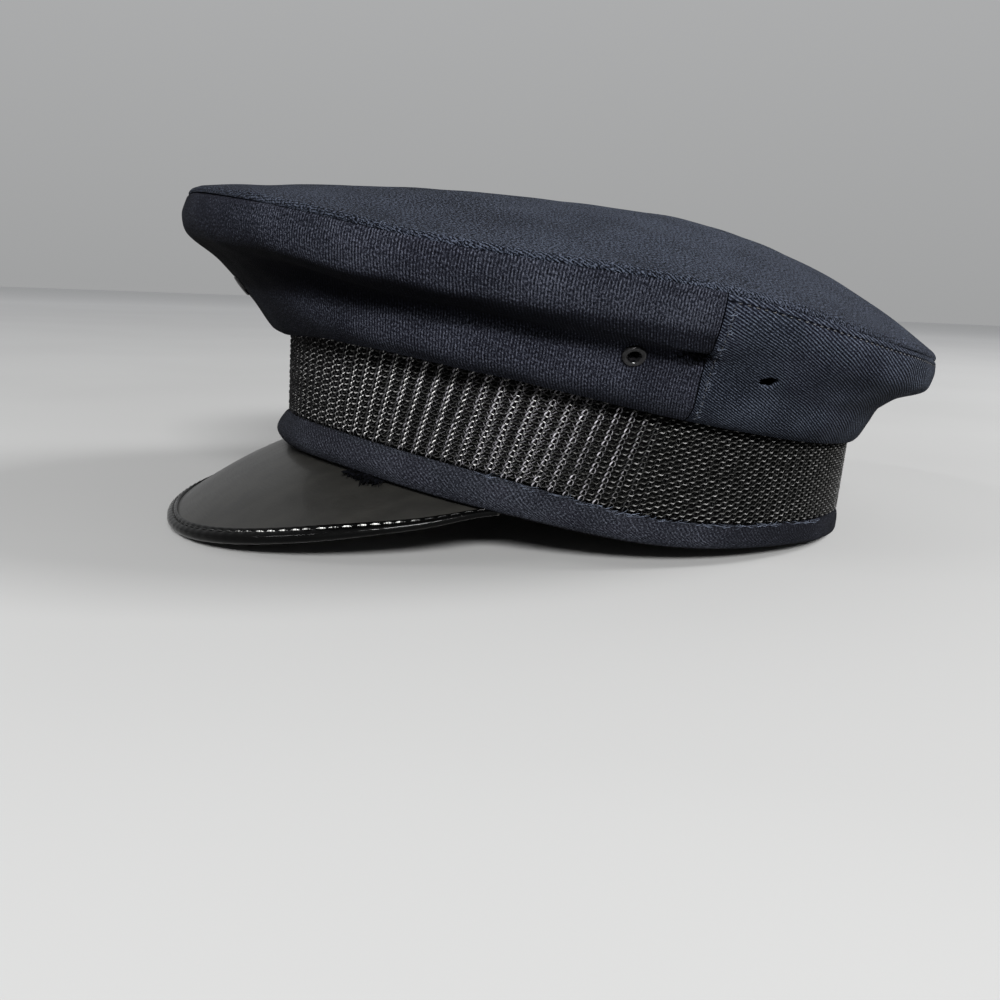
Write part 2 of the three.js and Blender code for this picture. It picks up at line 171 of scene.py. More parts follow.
def dome_point(angle, reach):
    """A place on the crown's top: a reach of 0 is its highest point, and 1 its rim."""
    angle, reach = arrays(angle, reach)
    rim = on_oval(RIM, angle, 0, section("rim", angle))
    run = np.hypot(rim[..., 0] - APEX[0], rim[..., 1] - APEX[1])
    point = APEX + (rim - APEX) * reach[..., None]
    from_edge = np.minimum((1 - reach) * run, RIM_ROUND)
    rounded = np.sqrt(np.maximum(RIM_ROUND ** 2 - (RIM_ROUND - from_edge) ** 2, 0))
    full = 1 - reach ** section("dome", angle)
    point[..., 2] = rim[..., 2] + rounded + (APEX[2] - rim[..., 2] - RIM_ROUND) * full
    return point


def placed(points):
    """The cap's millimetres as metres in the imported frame."""
    x, y, z = np.moveaxis(np.asarray(points, float), -1, 0)
    c, s = math.cos(TILT), math.sin(TILT)
    return np.stack([x, y * c - z * s + SHIFT_Y, y * s + z * c + SHIFT_Z], axis=-1) * MM


# Meshes: a patch is (points, faces, uv of each face corner), and a piece is made of patches
def patch(points, uv, ring=False, loop=False, keep=None):
    """Quads over a grid of points. A ring's last row, or a loop's last column, repeats the first one."""
    rows, columns = points.shape[:2]
    i, j = np.meshgrid(np.arange(rows - 1), np.arange(columns - 1), indexing="ij")
    corners = [(i, j), (i, j + 1), (i + 1, j + 1), (i + 1, j)]
    wide, tall = rows - ring, columns - loop
    faces = np.stack([(a % wide) * tall + b % tall for a, b in corners], axis=-1).reshape(-1, 4)
    face_uv = np.stack([uv[a, b] for a, b in corners], axis=2).reshape(-1, 4, uv.shape[-1])
    if keep is not None:
        faces, face_uv = faces[keep.ravel()], face_uv[keep.ravel()]
    return points[:wide, :tall].reshape(-1, 3), faces, face_uv


def faces_out(points, faces):
    p = points - points.mean(axis=0)
    a, b, c, d = (p[faces[:, k]] for k in range(4))
    volume = np.einsum("ij,ij->", a, np.cross(b, c)) + np.einsum("ij,ij->", a, np.cross(c, d))
    return volume >= 0


def weld(mesh):
    """Joins patches that meet into one closed surface, with its hard edges kept."""
    body = bmesh.new()
    body.from_mesh(mesh)
    bmesh.ops.remove_doubles(body, verts=body.verts, dist=2e-7)
    bmesh.ops.recalc_face_normals(body, faces=body.faces)
    body.to_mesh(mesh)
    body.free()
    mesh.set_sharp_from_angle(angle=math.radians(70))


def piece(name, patches, material, stands_for=(), closed=False):
    """A mesh object of patches. Their uv holds the weave's two lengths, and sometimes a shade as a third."""
    points, faces, uvs, start = [], [], [], 0
    for p, f, uv in patches:
        if not faces_out(p, f):
            f, uv = f[:, ::-1], uv[:, ::-1]
        points.append(p)
        faces.append(f + start)
        uvs.append(uv)
        start += len(p)
    mesh = bpy.data.meshes.new(name)
    mesh.from_pydata(placed(np.concatenate(points)), [], np.concatenate(faces))
    uv = np.concatenate(uvs).astype(np.float32)
    mesh.uv_layers.new(name="weave").data.foreach_set("uv", uv[..., :2].ravel())
    if uv.shape[-1] > 2:
        mesh.uv_layers.new(name="shade").data.foreach_set("uv", np.repeat(uv[..., 2:], 2, axis=-1).ravel())
    mesh.shade_smooth()
    if closed:
        weld(mesh)
    mesh.materials.append(material)
    made = bpy.data.objects.new(name, mesh)
    bpy.context.scene.collection.objects.link(made)
    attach(made, "root")
    if stands_for:
        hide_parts(*stands_for)
    return made


def uv_of(*layers):
    return np.stack(np.broadcast_arrays(*layers), axis=-1)


def steps_along(points):
    """Distance run along the first axis of a grid of points."""
    lengths = np.linalg.norm(np.diff(points, axis=0), axis=-1)
    return np.concatenate([np.zeros((1,) + lengths.shape[1:]), np.cumsum(lengths, axis=0)])


def steps_across(points):
    """Distance run along the second axis of a grid of points."""
    return steps_along(np.moveaxis(points, 1, 0)).T


def ring_piece(name, face, back, material, slot, stands_for, *shade):
    """A closed ring round the cap, from the grids of its outer and its inner face."""
    points = np.concatenate([face, back, face[:, :1]], axis=1)
    uv = uv_of(steps_along(points), steps_across(points), *shade)
    return piece(name, [patch(points, uv, ring=True, loop=True)], material, stands_for)


def tubes(lines, normals, radii, sides, uv):
    """Threads along lines[tube][point], with one radius for each point."""
    along = unit(np.gradient(lines, axis=1))
    side = unit(np.cross(along, normals))
    up = np.cross(side, along)
    turn = np.linspace(0, 2 * np.pi, sides + 1)[None, None, :, None]
    radii = np.broadcast_to(radii, lines.shape[:2])[:, :, None, None]
    rings = lines[:, :, None] + radii * (np.cos(turn) * side[:, :, None] + np.sin(turn) * up[:, :, None])
    count, steps = lines.shape[:2]
    i, j, k = np.meshgrid(np.arange(count), np.arange(steps - 1), np.arange(sides), indexing="ij")
    corners = [(j, k), (j, k + 1), (j + 1, k + 1), (j + 1, k)]
    faces = np.stack([(i * steps + a) * sides + b % sides for a, b in corners], axis=-1).reshape(-1, 4)
    face_uv = np.stack([uv[i, a] for a, _ in corners], axis=3).reshape(-1, 4, 2)
    return rings[:, :, :sides].reshape(-1, 3), faces, face_uv


def tube_ends(count):
    """Radii, as parts of the full one, that close a thread's two ends."""
    shape = np.ones(count)
    shape[[0, -1]] = 0.02
    shape[[1, -2]] = 0.65
    return shape


def grid_normals(points, ring):
    wrapped = np.concatenate([points[-2:-1], points, points[1:2]]) if ring else points
    first = np.gradient(wrapped, axis=0)
    return unit(np.cross(np.gradient(points, axis=1), first[1:-1] if ring else first))


def graded(start, end, count, peaks, width, strength):
    """Places from start to end that lie closer together near the peaks."""
    fine = np.linspace(start, end, 4001)
    density = 1 + sum(strength * bell(fine, peak, width) for peak in peaks)
    run = np.concatenate([[0], np.cumsum((density[1:] + density[:-1]) / 2)])
    return np.interp(np.linspace(0, run[-1], count), run, fine)


RUMPLE_WAVES = [(rng.normal(size=3) / rng.uniform(9, 34), rng.uniform(0, 6.28)) for _ in range(26)]


def rumple(points, size):
    """A gentle unevenness of the cloth."""
    total = sum(np.sin(points @ wave * 2.2 + phase) for wave, phase in RUMPLE_WAVES)
    return total * size / math.sqrt(len(RUMPLE_WAVES) / 2)


# Materials
def new_node(tree, kind, inputs=None, **settings):
    made = tree.nodes.new(kind)
    for key, value in settings.items():
        setattr(made, key, value)
    for key, value in (inputs or {}).items():
        if isinstance(value, bpy.types.NodeSocket):
            tree.links.new(value, made.inputs[key])
        else:
            made.inputs[key].default_value = value
    return made


class Finish:
    """A material with a Principled shader and short ways to add nodes."""

    def __init__(self, name, **constants):
        self.material = bpy.data.materials.new(name)
        self.material.use_nodes = True
        self.tree = self.material.node_tree
        self.tree.nodes.clear()
        inputs = {key.replace("_", " "): value for key, value in constants.items()}
        self.shader = new_node(self.tree, "ShaderNodeBsdfPrincipled", inputs)
        new_node(self.tree, "ShaderNodeOutputMaterial", {"Surface": self.shader.outputs[0]})
        self.uv, self.u, self.v = self.layer("weave")

    def layer(self, name):
        """A texture layer of the mesh, as a vector and as its two parts."""
        vector = new_node(self.tree, "ShaderNodeUVMap", uv_map=name).outputs[0]
        parts = new_node(self.tree, "ShaderNodeSeparateXYZ", {0: vector}).outputs
        return vector, parts[0], parts[1]

    def math(self, operation, *values):
        return new_node(self.tree, "ShaderNodeMath", dict(enumerate(values)), operation=operation).outputs[0]

    def scaled(self, value, factor):
        return self.math("MULTIPLY", value, factor)

    def weighted(self, *terms, plus=0.0):
        """The sum of (value, weight) terms and a number."""
        result = plus
        for value, weight in terms:
            result = self.math("MULTIPLY_ADD", value, weight, result)
        return result

    def wave(self, coordinate, pitch):
        """From 0 to 1 and back over each pitch."""
        turn = self.math("COSINE", self.scaled(coordinate, 2 * math.pi / pitch))
        return self.math("MULTIPLY_ADD", turn, 0.5, 0.5)

    def ridge(self, coordinate, centre, width):
        """1 on a line, falling to 0 about two widths away."""
        off = self.math("DIVIDE", self.math("SUBTRACT", coordinate, centre), width)
        return self.math("EXPONENT", self.scaled(self.math("MULTIPLY", off, off), -1))

    def noise(self, vector, scale, detail):
        inputs = {"Vector": vector, "Scale": scale, "Detail": detail}
        return new_node(self.tree, "ShaderNodeTexNoise", inputs).outputs[0]

    def stretched(self, x, x_scale, y, y_scale):
        inputs = {0: self.scaled(x, x_scale), 1: self.scaled(y, y_scale)}
        return new_node(self.tree, "ShaderNodeCombineXYZ", inputs).outputs[0]

    def ramp(self, value, stops):
        made = new_node(self.tree, "ShaderNodeValToRGB", {0: value})
        elements = made.color_ramp.elements
        for i, (place, colour) in enumerate(stops):
            element = elements[i] if i < 2 else elements.new(place)
            element.position = place
            element.color = (*colour, 1)
        return made.outputs[0]

    def drive(self, **sockets):
        for key, value in sockets.items():
            self.tree.links.new(value, self.shader.inputs[key.replace("_", " ")])

    def bump(self, height, distance):
        inputs = {"Height": height, "Distance": distance, "Strength": 1.0}
        self.drive(Normal=new_node(self.tree, "ShaderNodeBump", inputs).outputs[0])


# Dark, middle and light tone of each cloth. All four are one navy wool: the top's tones and the welt's light
# tone are painted darker, and the rear panel's lighter, than the front's, as painted shade and light
TONE_PLACES = (0.0, 0.5, 1.0)
FRONT_TONES = (0.0006, 0.0007, 0.0016), (0.0072, 0.0080, 0.0119), (0.056, 0.061, 0.080)
TOP_TONES = (0.0005, 0.0006, 0.0014), (0.0052, 0.0063, 0.0101), (0.050, 0.059, 0.081)
REAR_TONES = (0.0007, 0.0009, 0.0020), (0.0080, 0.0096, 0.0148), (0.062, 0.073, 0.097)
WELT_TONES = (0.0010, 0.0012, 0.0022), (0.0074, 0.0080, 0.0108), (0.042, 0.046, 0.058)
# How much a twill's parts raise it, and how much they lighten it
RAISED = {"wale": 0.9, "dash": 1.6, "fibre": 1.2}
LIT = {"wale": 0.55, "dash": 1.7, "fibre": 1.6, "patch": 0.5, "all": 0.20}


def twill(name, pitch, slant, lines, speckle, tones, stitches=(), sheen=0.0, shaded=0.0, fade=None):
    """Wool twill: wales a pitch apart, slanted from the height line, each of short dashes.
    stitches: (distance down from the seam, pitch) of rows of sunk stitches. shaded: how much the mesh's
    shade darkens it. fade: the places along it between which the wales grow to their full strength."""
    finish = Finish(name, Roughness=0.9, Specular_IOR_Level=0.04, Sheen_Weight=sheen, Sheen_Roughness=0.4)
    c, s = math.cos(math.radians(slant)), math.sin(math.radians(slant))
    across = finish.weighted((finish.u, c), (finish.v, s), (finish.noise(finish.uv, 0.11, 1), 0.8))
    along = finish.weighted((finish.v, c), (finish.u, -s))
    wale = finish.wave(across, pitch)
    if fade:
        grown = finish.scaled(finish.math("SUBTRACT", finish.u, fade[0]), 1 / (fade[1] - fade[0]))
        grown = finish.math("MINIMUM", finish.math("MAXIMUM", grown, 0.3), 1.0)
        wale = finish.math("MULTIPLY", wale, grown)
    dashes = finish.noise(finish.stretched(across, 1.7 / pitch, along, 1.3), 1.0, 1)
    fibre = finish.noise(finish.uv, 4.2, 1)
    patches = finish.noise(finish.uv, 0.05, 3)
    height = finish.weighted(
        (wale, RAISED["wale"] * lines), (dashes, RAISED["dash"] * speckle),
        (fibre, RAISED["fibre"] * speckle))
    halfway = LIT["wale"] / 2 * lines + (LIT["dash"] + LIT["fibre"]) / 2 * speckle
    lit = finish.weighted(
        (wale, LIT["wale"] * lines), (dashes, LIT["dash"] * speckle), (fibre, LIT["fibre"] * speckle),
        (patches, LIT["patch"]), plus=LIT["all"] - halfway)
    for down, gap in stitches:
        line = finish.ridge(finish.v, down, 0.30)
        holes = finish.math("MULTIPLY", line, finish.wave(finish.u, gap))
        height = finish.weighted((height, 1), (line, -0.5), (holes, -2.0))
        lit = finish.weighted((lit, 1), (line, -0.08), (holes, -0.7))
    if shaded:
        lit = finish.weighted((lit, 1), (finish.layer("shade")[1], -shaded))
    finish.bump(height, 0.00026)
    finish.drive(Base_Color=finish.ramp(lit, zip(TONE_PLACES, tones)))
    return finish.material


# The shade layer: painted shade in the front's fold and at the welt's back; below 0 (the top), painted light
# with dust
FRONT_CLOTH = twill("cloth_front", 0.88, 10, 0.62, 0.88, FRONT_TONES, shaded=0.6, fade=(-100, -25))
REAR_CLOTH = twill("cloth_rear", 0.90, 111, 1.1, 0.75, REAR_TONES, [(2.0, 2.4)])
TOP_CLOTH = twill("cloth_top", 0.86, 134, 0.75, 1.75, TOP_TONES, sheen=0.004, shaded=-0.12)
WELT_CLOTH = twill("cloth_welt", 0.82, 57, 0.42, 0.85, WELT_TONES, shaded=0.20)


# Crown top: polar grids of the outer and the inner face, from the middle to the rim seam and back
TOP_SPOKES, TOP_RINGS, TOP_INNER_RINGS = 289, 66, 24
TOP_MIDDLE = 0.003
SEAM_SINK, SEAM_SHOULDER, SEAM_TURN = 0.35, 0.08, 1.2
# Where the top's shade layer lightens it: painted light with a dust haze, lighter towards the back of the
# top and less so near its rim
DUST_AND_PAINTED_LIGHT_FRONT, DUST_AND_PAINTED_LIGHT_BACK, DUST_AND_PAINTED_LIGHT_EDGE = -80, -5, (88, 122)


def crown_top():
    angles = np.linspace(0, 360, TOP_SPOKES)[:, None]
    reaches = 1 - (1 - np.linspace(0, 1, TOP_RINGS)) ** 1.7
    reaches[0] = TOP_MIDDLE
    outer = dome_point(angles, reaches[None, :])
    outer += grid_normals(outer, True) * rumple(outer, 0.16)[..., None]
    middle = outer[:-1, 0].mean(axis=0)
    outer[:, 0] = middle + (outer[:, 0] - middle) * LEVEL
    outward = unit((outer[:, -1] - outer[:, -6]) * LEVEL)
    outer[:, -1] -= outward * SEAM_SINK
    outer[:, -2] -= outward * SEAM_SHOULDER
    picked = np.linspace(0, TOP_RINGS - 1, TOP_INNER_RINGS).astype(int)[::-1]
    normals = grid_normals(outer, True)
    inner = outer[:, picked] - normals[:, picked] * np.sign(normals[0, TOP_RINGS // 2, 2]) * CLOTH
    inner[:, 0] = outer[:, -1] - outward * SEAM_TURN
    points = np.concatenate([outer, inner], axis=1)
    run = steps_across(points)
    heading = unit((outer[:, -1] - outer[:, 0]) * LEVEL)[:, None]
    # painted light with dust: the top grows lighter from front to back, fading near the rim seam
    dust_and_painted_light = smoothstep(points[..., 1], DUST_AND_PAINTED_LIGHT_FRONT, DUST_AND_PAINTED_LIGHT_BACK) * (1 - 0.6 * smoothstep(run, *DUST_AND_PAINTED_LIGHT_EDGE))
    patches = [patch(points, uv_of(heading[..., 0] * run, heading[..., 1] * run, dust_and_painted_light), ring=True)]
    for column in (0, -1):
        edge = points[:, column]
        middle = np.broadcast_to(edge[:-1].mean(axis=0), edge.shape)
        disc = np.stack([middle, (middle + edge) / 2, edge], axis=1)
        patches.append(patch(disc, disc * LEVEL))
    return piece("crown_top_cloth", patches, TOP_CLOTH, ["crown_top"], closed=True)


# Crown panels. Holes: angle, part of the way down, radius. A bare hole's edge is frayed.
HOLES = {"badge": (0, 0.61, 2.7), "left": (80, 0.56, 2.5), "right": (-80, 0.56, 2.5)}
BARE_HOLES = [(100, 0.52, 2.3, "frayed"), (260, 0.52, 2.3, "frayed")]
HOLE_ROUND = 0.8
BADGE_DENT, BADGE_DENT_REACH = 0.5, 7.0
FOLD_LOWER, FOLD_DEEPER, SKIRT_FULLER, REAR_FULLER = 0.085, 1.6, 1.6, 1.7
# creases of the wall: angle, reach to the front and back, part of the way down, half height, depth
CREASES = [(88.5, (7.5, 2.0), 0.475, 0.060, 2.4), (87.5, (8.0, 2.5), 0.37, 0.060, -0.8)]
GRAIN_ANGLE = 55  # where the front panel's wales run straight down
LAST_DOWN = 0.985
HEM_STEPS = 5


def wall_normal(angle, down):
    middle = np.clip(down, 0.02, 0.98)
    along = wall_point(angle, middle + 0.01) - wall_point(angle, middle - 0.01)
    around = wall_point(np.asarray(angle) + 1, middle) - wall_point(np.asarray(angle) - 1, middle)
    return unit(np.cross(along, around))


def wall_surface(angle, down):
    """The outer face of the panels, with its unevenness, folds, creases and the badge eyelet's dent."""
    angle, down = arrays(angle, down)
    away = from_front(angle)
    sag = FOLD_LOWER * plateau(away, 25, 48, 84, 100)
    point = wall_point(angle, down, sag)
    badge = wall_point(*arrays(*HOLES["badge"][:2]))
    calm = np.clip(np.minimum(down, 1 - down) / 0.06, 0, 1)
    middle = section("valleyAt", angle) + sag
    ahead = smoothstep(away, 14, 42)
    skirt = bell(down, 0.79, 0.12) * (1 - smoothstep(down, 0.88, 0.99))
    move = rumple(point, 0.22) * calm \
        - BADGE_DENT * bell(np.linalg.norm(point - badge, axis=-1), 0, BADGE_DENT_REACH) \
        - FOLD_DEEPER * ahead * (1 - smoothstep(away, 62, 88)) * bell(down, middle, 0.08) \
        + SKIRT_FULLER * ahead * (1 - 0.5 * smoothstep(away, 90, 110)) * skirt \
        + REAR_FULLER * plateau(away, 88, 102, 132, 158) * bell(down, middle, 0.15)
    for place, (front_reach, back_reach), at, tall, deep in CREASES:
        wide = np.where(away > place, back_reach, front_reach)
        move = move - deep * bell(away, place, wide) * bell(down, at, tall)
    return point + wall_normal(angle, down) * move[..., None]


def wall_spot(angle, down):
    """One place on the wall, and the direction out of it."""
    place = arrays(angle, down)
    return wall_surface(*place), wall_normal(*place)


def painted_fold_shade(angle, down):
    """Painted shade in the fold under the front's roll; below 0, painted light on the roll's lip above it.
    """
    away = from_front(angle)
    foot = 0.62 - 0.06 * smoothstep(away, 35, 58) + 0.05 * smoothstep(away, 64, 72) \
        - 0.08 * smoothstep(away, 78, 88)
    shade_strength = 1 - 0.62 * smoothstep(away, 56, 72)
    fold = plateau(down, 0.20, 0.28, foot - 0.09, foot + 0.05)
    painted_lip_light = smoothstep(away, 58, 78) * plateau(down, 0.02, 0.10, 0.18, 0.25)
    return shade_strength * fold - 0.16 * painted_lip_light


def punched(outer, inner, holes):
    """Both faces drawn to each hole's edge, which is rounded, and the squares of the grid that stay."""
    keep = np.ones((outer.shape[0] - 1, outer.shape[1] - 1), bool)
    middle = (outer + inner) / 2
    for angle, down, radius, *frayed in holes:
        centre, axis = wall_spot(angle, down)
        offset = middle - (centre - axis * CLOTH / 2)
        flat = offset - axis * (offset @ axis)[..., None]
        distance = np.linalg.norm(flat, axis=-1)
        near = distance < radius + 3
        edge = radius
        if frayed:
            turn = np.arctan2(flat[..., 2], flat @ unit(np.cross(axis, [0, 0, 1])))
            uneven = 0.10 * np.cos(2 * turn) + 0.07 * np.sin(5 * turn + 1) + 0.05 * np.sin(9 * turn)
            edge = radius * (1 + uneven)
        inside = near & (distance < edge)
        share = np.clip((distance - edge) / HOLE_ROUND, 0, 1)
        full = np.where(near, np.sqrt(1 - (1 - share) ** 2), 1)[..., None]
        drawn = middle + np.where(inside, edge - distance, 0)[..., None] * unit(flat)
        outer, inner = drawn + (outer - middle) * full, drawn + (inner - middle) * full
        middle = drawn
        keep &= ~(inside[:-1, :-1] & inside[1:, :-1] & inside[:-1, 1:] & inside[1:, 1:])
    return outer, inner, keep


def turned_hem(angles, start):
    """A panel's lower edge, bent in under its last points and turned up inside the band."""
    hem, fold = section("hem", angles), section("fold", angles)
    corner = on_band(angles, hem, fold - 0.1)
    shelf = on_band(angles, hem - 1.5, fold - 0.05)
    share = np.linspace(0, 1, HEM_STEPS + 1)[1:, None, None]
    bend = (1 - share) ** 2 * start + 2 * share * (1 - share) * corner + share ** 2 * shelf
    inside = [on_band(angles, HEM_INNER + out, fold + up) for out, up in ((0, 0.4), (0, 2.5), (1.2, 2.5))]
    return np.moveaxis(np.concatenate([bend, inside]), 0, 1)


def crown_panel(name, start, end, columns, rows, holes, material, stands_for):
    angles = graded(start, end, columns, [hole[0] for hole in holes], 2.2, 2.6)[:, None]
    downs = graded(0, LAST_DOWN, rows, [0, LAST_DOWN, holes[0][1]], 0.05, 1.6)[None, :]
    outer = wall_surface(angles, downs)
    normal = wall_normal(angles, downs)
    around = steps_along(outer)
    rim_groove = (0.46 + 0.34 * np.cos(np.radians(angles)) ** 2) * bell(steps_across(outer), 0, 0.55)
    end_groove = 0.35 * bell(np.minimum(around, around[-1:] - around), 0, 0.45)
    outer = outer - normal * (rim_groove + end_groove)[..., None]
    inner = outer - normal * (CLOTH + (HEM_WALL - CLOTH) * smoothstep(downs, 0.8, 1))[..., None]
    whole, whole_inner = outer, inner
    outer, inner, keep = punched(outer, inner, holes)
    hem = turned_hem(angles[:, 0], outer[:, -1])
    points = np.concatenate([outer, hem, inner[:, ::-1], outer[:, :1]], axis=1)
    whole = np.concatenate([whole, hem, whole_inner[:, ::-1], whole[:, :1]], axis=1)
    shown = np.ones((columns - 1, points.shape[1] - 1), bool)
    shown[:, :rows - 1] = keep
    inner_start = rows + hem.shape[1]
    shown[:, inner_start:inner_start + rows - 1] = keep[:, ::-1]
    if material is REAR_CLOTH:
        arc = around[:, [rows // 3]] - around[columns // 2, rows // 3]
    else:
        level = steps_along(whole)
        level = np.abs(level - level[columns // 2])
        arc = level - level[np.abs(angles[:, 0] - GRAIN_ANGLE).argmin()]
    # third layer: painted shade in the front's fold and painted light on the roll's lip
    shade = np.zeros(points.shape[:2])
    shade[:, :rows] = painted_fold_shade(angles, downs)
    patches = [patch(points, uv_of(arc, steps_across(whole), shade), loop=True, keep=shown)]
    turn = hem.shape[1] // 2
    for row in (0, -1):
        outside = np.concatenate([points[row, :rows], hem[row, :turn]])
        inside = np.concatenate([inner[row], hem[row, :turn - 1:-1]])
        patches.append(patch(np.stack([outside, inside]), np.zeros((2, rows + turn, 3))))
    return piece(name, patches, material, [stands_for], closed=True)


# Braid: links in upright columns, crossed by two looped threads in each row. A run is a distance in
# millimetres round the band from the front, and the zones below say where each kind of thread shows
# and where it is painted bright: painted glints on the links at the front and on the loops at the back.
ROW_PITCH, COLUMN_PITCH = 1.77, 4.75
BRAID_LEAN = 0.12
BRAID_ROWS = 17
BAND_STEPS = 1440
LINK_BRIGHT = 20, 75, 128, 146
LINK_SUNK = 130, 148
LOOP_AMID = 20, 60, 100, 128
CROSSING_SHOWN = 16, 40, 112, 132
# dark, middle and light tone of each kind of thread; the light tones serve the painted glints
THREAD_TONE_PLACES = (0.0, 0.3, 1.0)
LINK_TONES = (0.0012, 0.0012, 0.0013), (0.020, 0.020, 0.021), (0.46, 0.445, 0.48)
LOOP_TONES = (0.0008, 0.0008, 0.0008), (0.015, 0.015, 0.014), (0.42, 0.415, 0.41)
CROSSING_TONES = (0.0010, 0.0010, 0.0010), (0.022, 0.022, 0.023), (0.36, 0.345, 0.38)


def welt_top(angle):
    return section("base", angle) + section("welt", angle)


band_angles = np.linspace(-180, 180, BAND_STEPS + 1)
band_run = steps_along(on_band(band_angles, 0, welt_top(band_angles)))
band_run = band_run - band_run[BAND_STEPS // 2]
BAND_LENGTH = band_run[-1] * 2


def braid_place(run, height, out):
    """A point on the braid, at a run and a height above the welt's top, and its angle."""
    run, height, out = arrays(run, height, out)
    shifted = (run + BRAID_LEAN * height + BAND_LENGTH / 2) % BAND_LENGTH - BAND_LENGTH / 2
    slope = welt_top(np.interp(shifted + 1, band_run, band_angles)) \
        - welt_top(np.interp(shifted, band_run, band_angles))
    angle = np.interp(shifted - slope * height, band_run, band_angles)
    return on_band(angle, out, welt_top(angle) + height), angle


def braid_normals(run, height):
    ahead = braid_place(run + 0.5, height, 0)[0] - braid_place(run - 0.5, height, 0)[0]
    rising = braid_place(run, height + 0.5, 0)[0] - braid_place(run, height - 0.5, 0)[0]
    return unit(np.cross(ahead, rising))


def braid_thread(name, run, height, out, radii, glint_and_tone, seed, spare, tones, among=True):
    """Threads on the braid, without those that rise past its top by more than the spare height.
    Their tone and painted glints are worked out by the caller and carried in the first texture coordinate."""
    point, angle = braid_place(run, height, out)
    top = section("fold", angle) - welt_top(angle)
    shown = (height.max(axis=-1) < top.min(axis=-1) + spare) & among
    normals = braid_normals(run, height)
    radii = np.broadcast_to(radii, run.shape)
    uv = uv_of(glint_and_tone, seed)
    finish = Finish(name, Specular_IOR_Level=0.08, Roughness=0.35)
    fibre = finish.noise(finish.uv, 1.1, 1)
    tone = finish.math("MULTIPLY", finish.u, finish.math("ADD", fibre, 0.5))
    finish.bump(fibre, 0.00005)
    finish.drive(Base_Color=finish.ramp(tone, zip(THREAD_TONE_PLACES, tones)))
    piece(name, [tubes(point[shown], normals[shown], radii[shown], 4, uv[shown])], finish.material)


def braid_links(column, row):
    """Open loops, each hanging over the top of the one below."""
    turn = np.radians(np.linspace(-58, 238, 9))
    side, rise = np.cos(turn), np.sin(turn)
    columns, rows = np.meshgrid(column, row, indexing="ij")
    columns = columns + rng.normal(0, 0.08, columns.shape)
    run = columns[..., None] + 0.74 * side * (1 - 0.34 * rise) + 0.10 * rise
    height = rows[..., None] + rise
    away = np.abs(run)
    out = 0.88 * np.abs(side) ** 0.8 - 1 - smoothstep(away, *LINK_SUNK) \
        + rng.normal(0, 0.05, columns.shape)[..., None]
    # painted glints: bright on each link's left stroke, dimmer on its right, brightest in the front zone and
    # towards the band's top, faint at the back
    glint = np.abs(side) ** 3 * np.where(side < 0, 1.0, 0.62) \
        * rng.uniform(0.4, 1.2, columns.shape)[..., None]
    bright = plateau(away, *LINK_BRIGHT)
    high = 0.72 + 0.28 * smoothstep(height, 4, 18)
    level = np.where(away < 128, 0.46, 0.02) * (1 - bright) + bright
    glint_and_tone = 0.20 * bright + (0.32 + 0.15 * smoothstep(away, 85, 110)) * glint * level * high
    radii = 0.16 + 0.09 * np.maximum(-side, 0)
    braid_thread("braid_links", run, height, out, radii, glint_and_tone, run + 3 * rows[..., None], 1.4, LINK_TONES)


def braid_loops(columns, pitch, row):
    """Short arcs at the columns and, half a row higher, between them, each stepping up to the next."""
    part = np.linspace(-0.5, 0.5, 6)
    places, rows = np.meshgrid(np.arange(columns * 2) - columns, row, indexing="ij")
    between = (places % 2 == 1)[..., None]
    level = rows[..., None] + 0.5 * ROW_PITCH * between
    steep = (1 - smoothstep(np.abs(places) * pitch / 2, 76, 96))[..., None] * between
    run = (places[..., None] + part * (1 - 0.5 * steep)) * pitch / 2
    wave = 2 * np.pi * part
    height = level + (0.5 + 0.7 * steep) * ROW_PITCH * part \
        + (1 - steep) * (0.13 * (1 - np.cos(wave)) - 0.19 * np.sin(wave))
    crest = 0.5 + 0.5 * np.cos(wave)
    away = np.abs(run)
    behind = smoothstep(away, 112, 150)
    out = -1.40 + 0.95 * crest ** 0.8 * (1 - 0.55 * behind) + 0.77 * behind
    # painted glints by zone: bright arcs between the columns at the front, evenly bright arcs at the back,
    # over the threads' own dark tone
    glint = crest ** 0.7 * rng.uniform(0.5, 1.15, places.shape)[..., None]
    even = (0.25 + 0.75 * crest ** 0.6) * rng.uniform(0.7, 1.1, places.shape)[..., None]
    front = 1 - smoothstep(away, 40, 90)
    upper = (0.25 + 0.75 * smoothstep(away, 20, 70)) * (1 - smoothstep(away, 76, 98)) \
        * (0.5 + 0.5 * smoothstep(height, 8, 18)) * between
    rear = smoothstep(away, 116, 142) * (1 - 0.35 * smoothstep(away, 175, 235))
    glint_and_tone = 0.005 + 0.80 * glint * upper + (0.42 * glint + 0.08) * front + 0.16 * glint * (1 - rear) \
        + 0.17 * smoothstep(away, 70, 95) * (1 - rear) + 0.50 * even * rear \
        + 0.66 * even * plateau(away, *LOOP_AMID) * between
    braid_thread("braid_loops", run, height, out, 0.19, glint_and_tone, run + 5 * level, 1.2, LOOP_TONES)


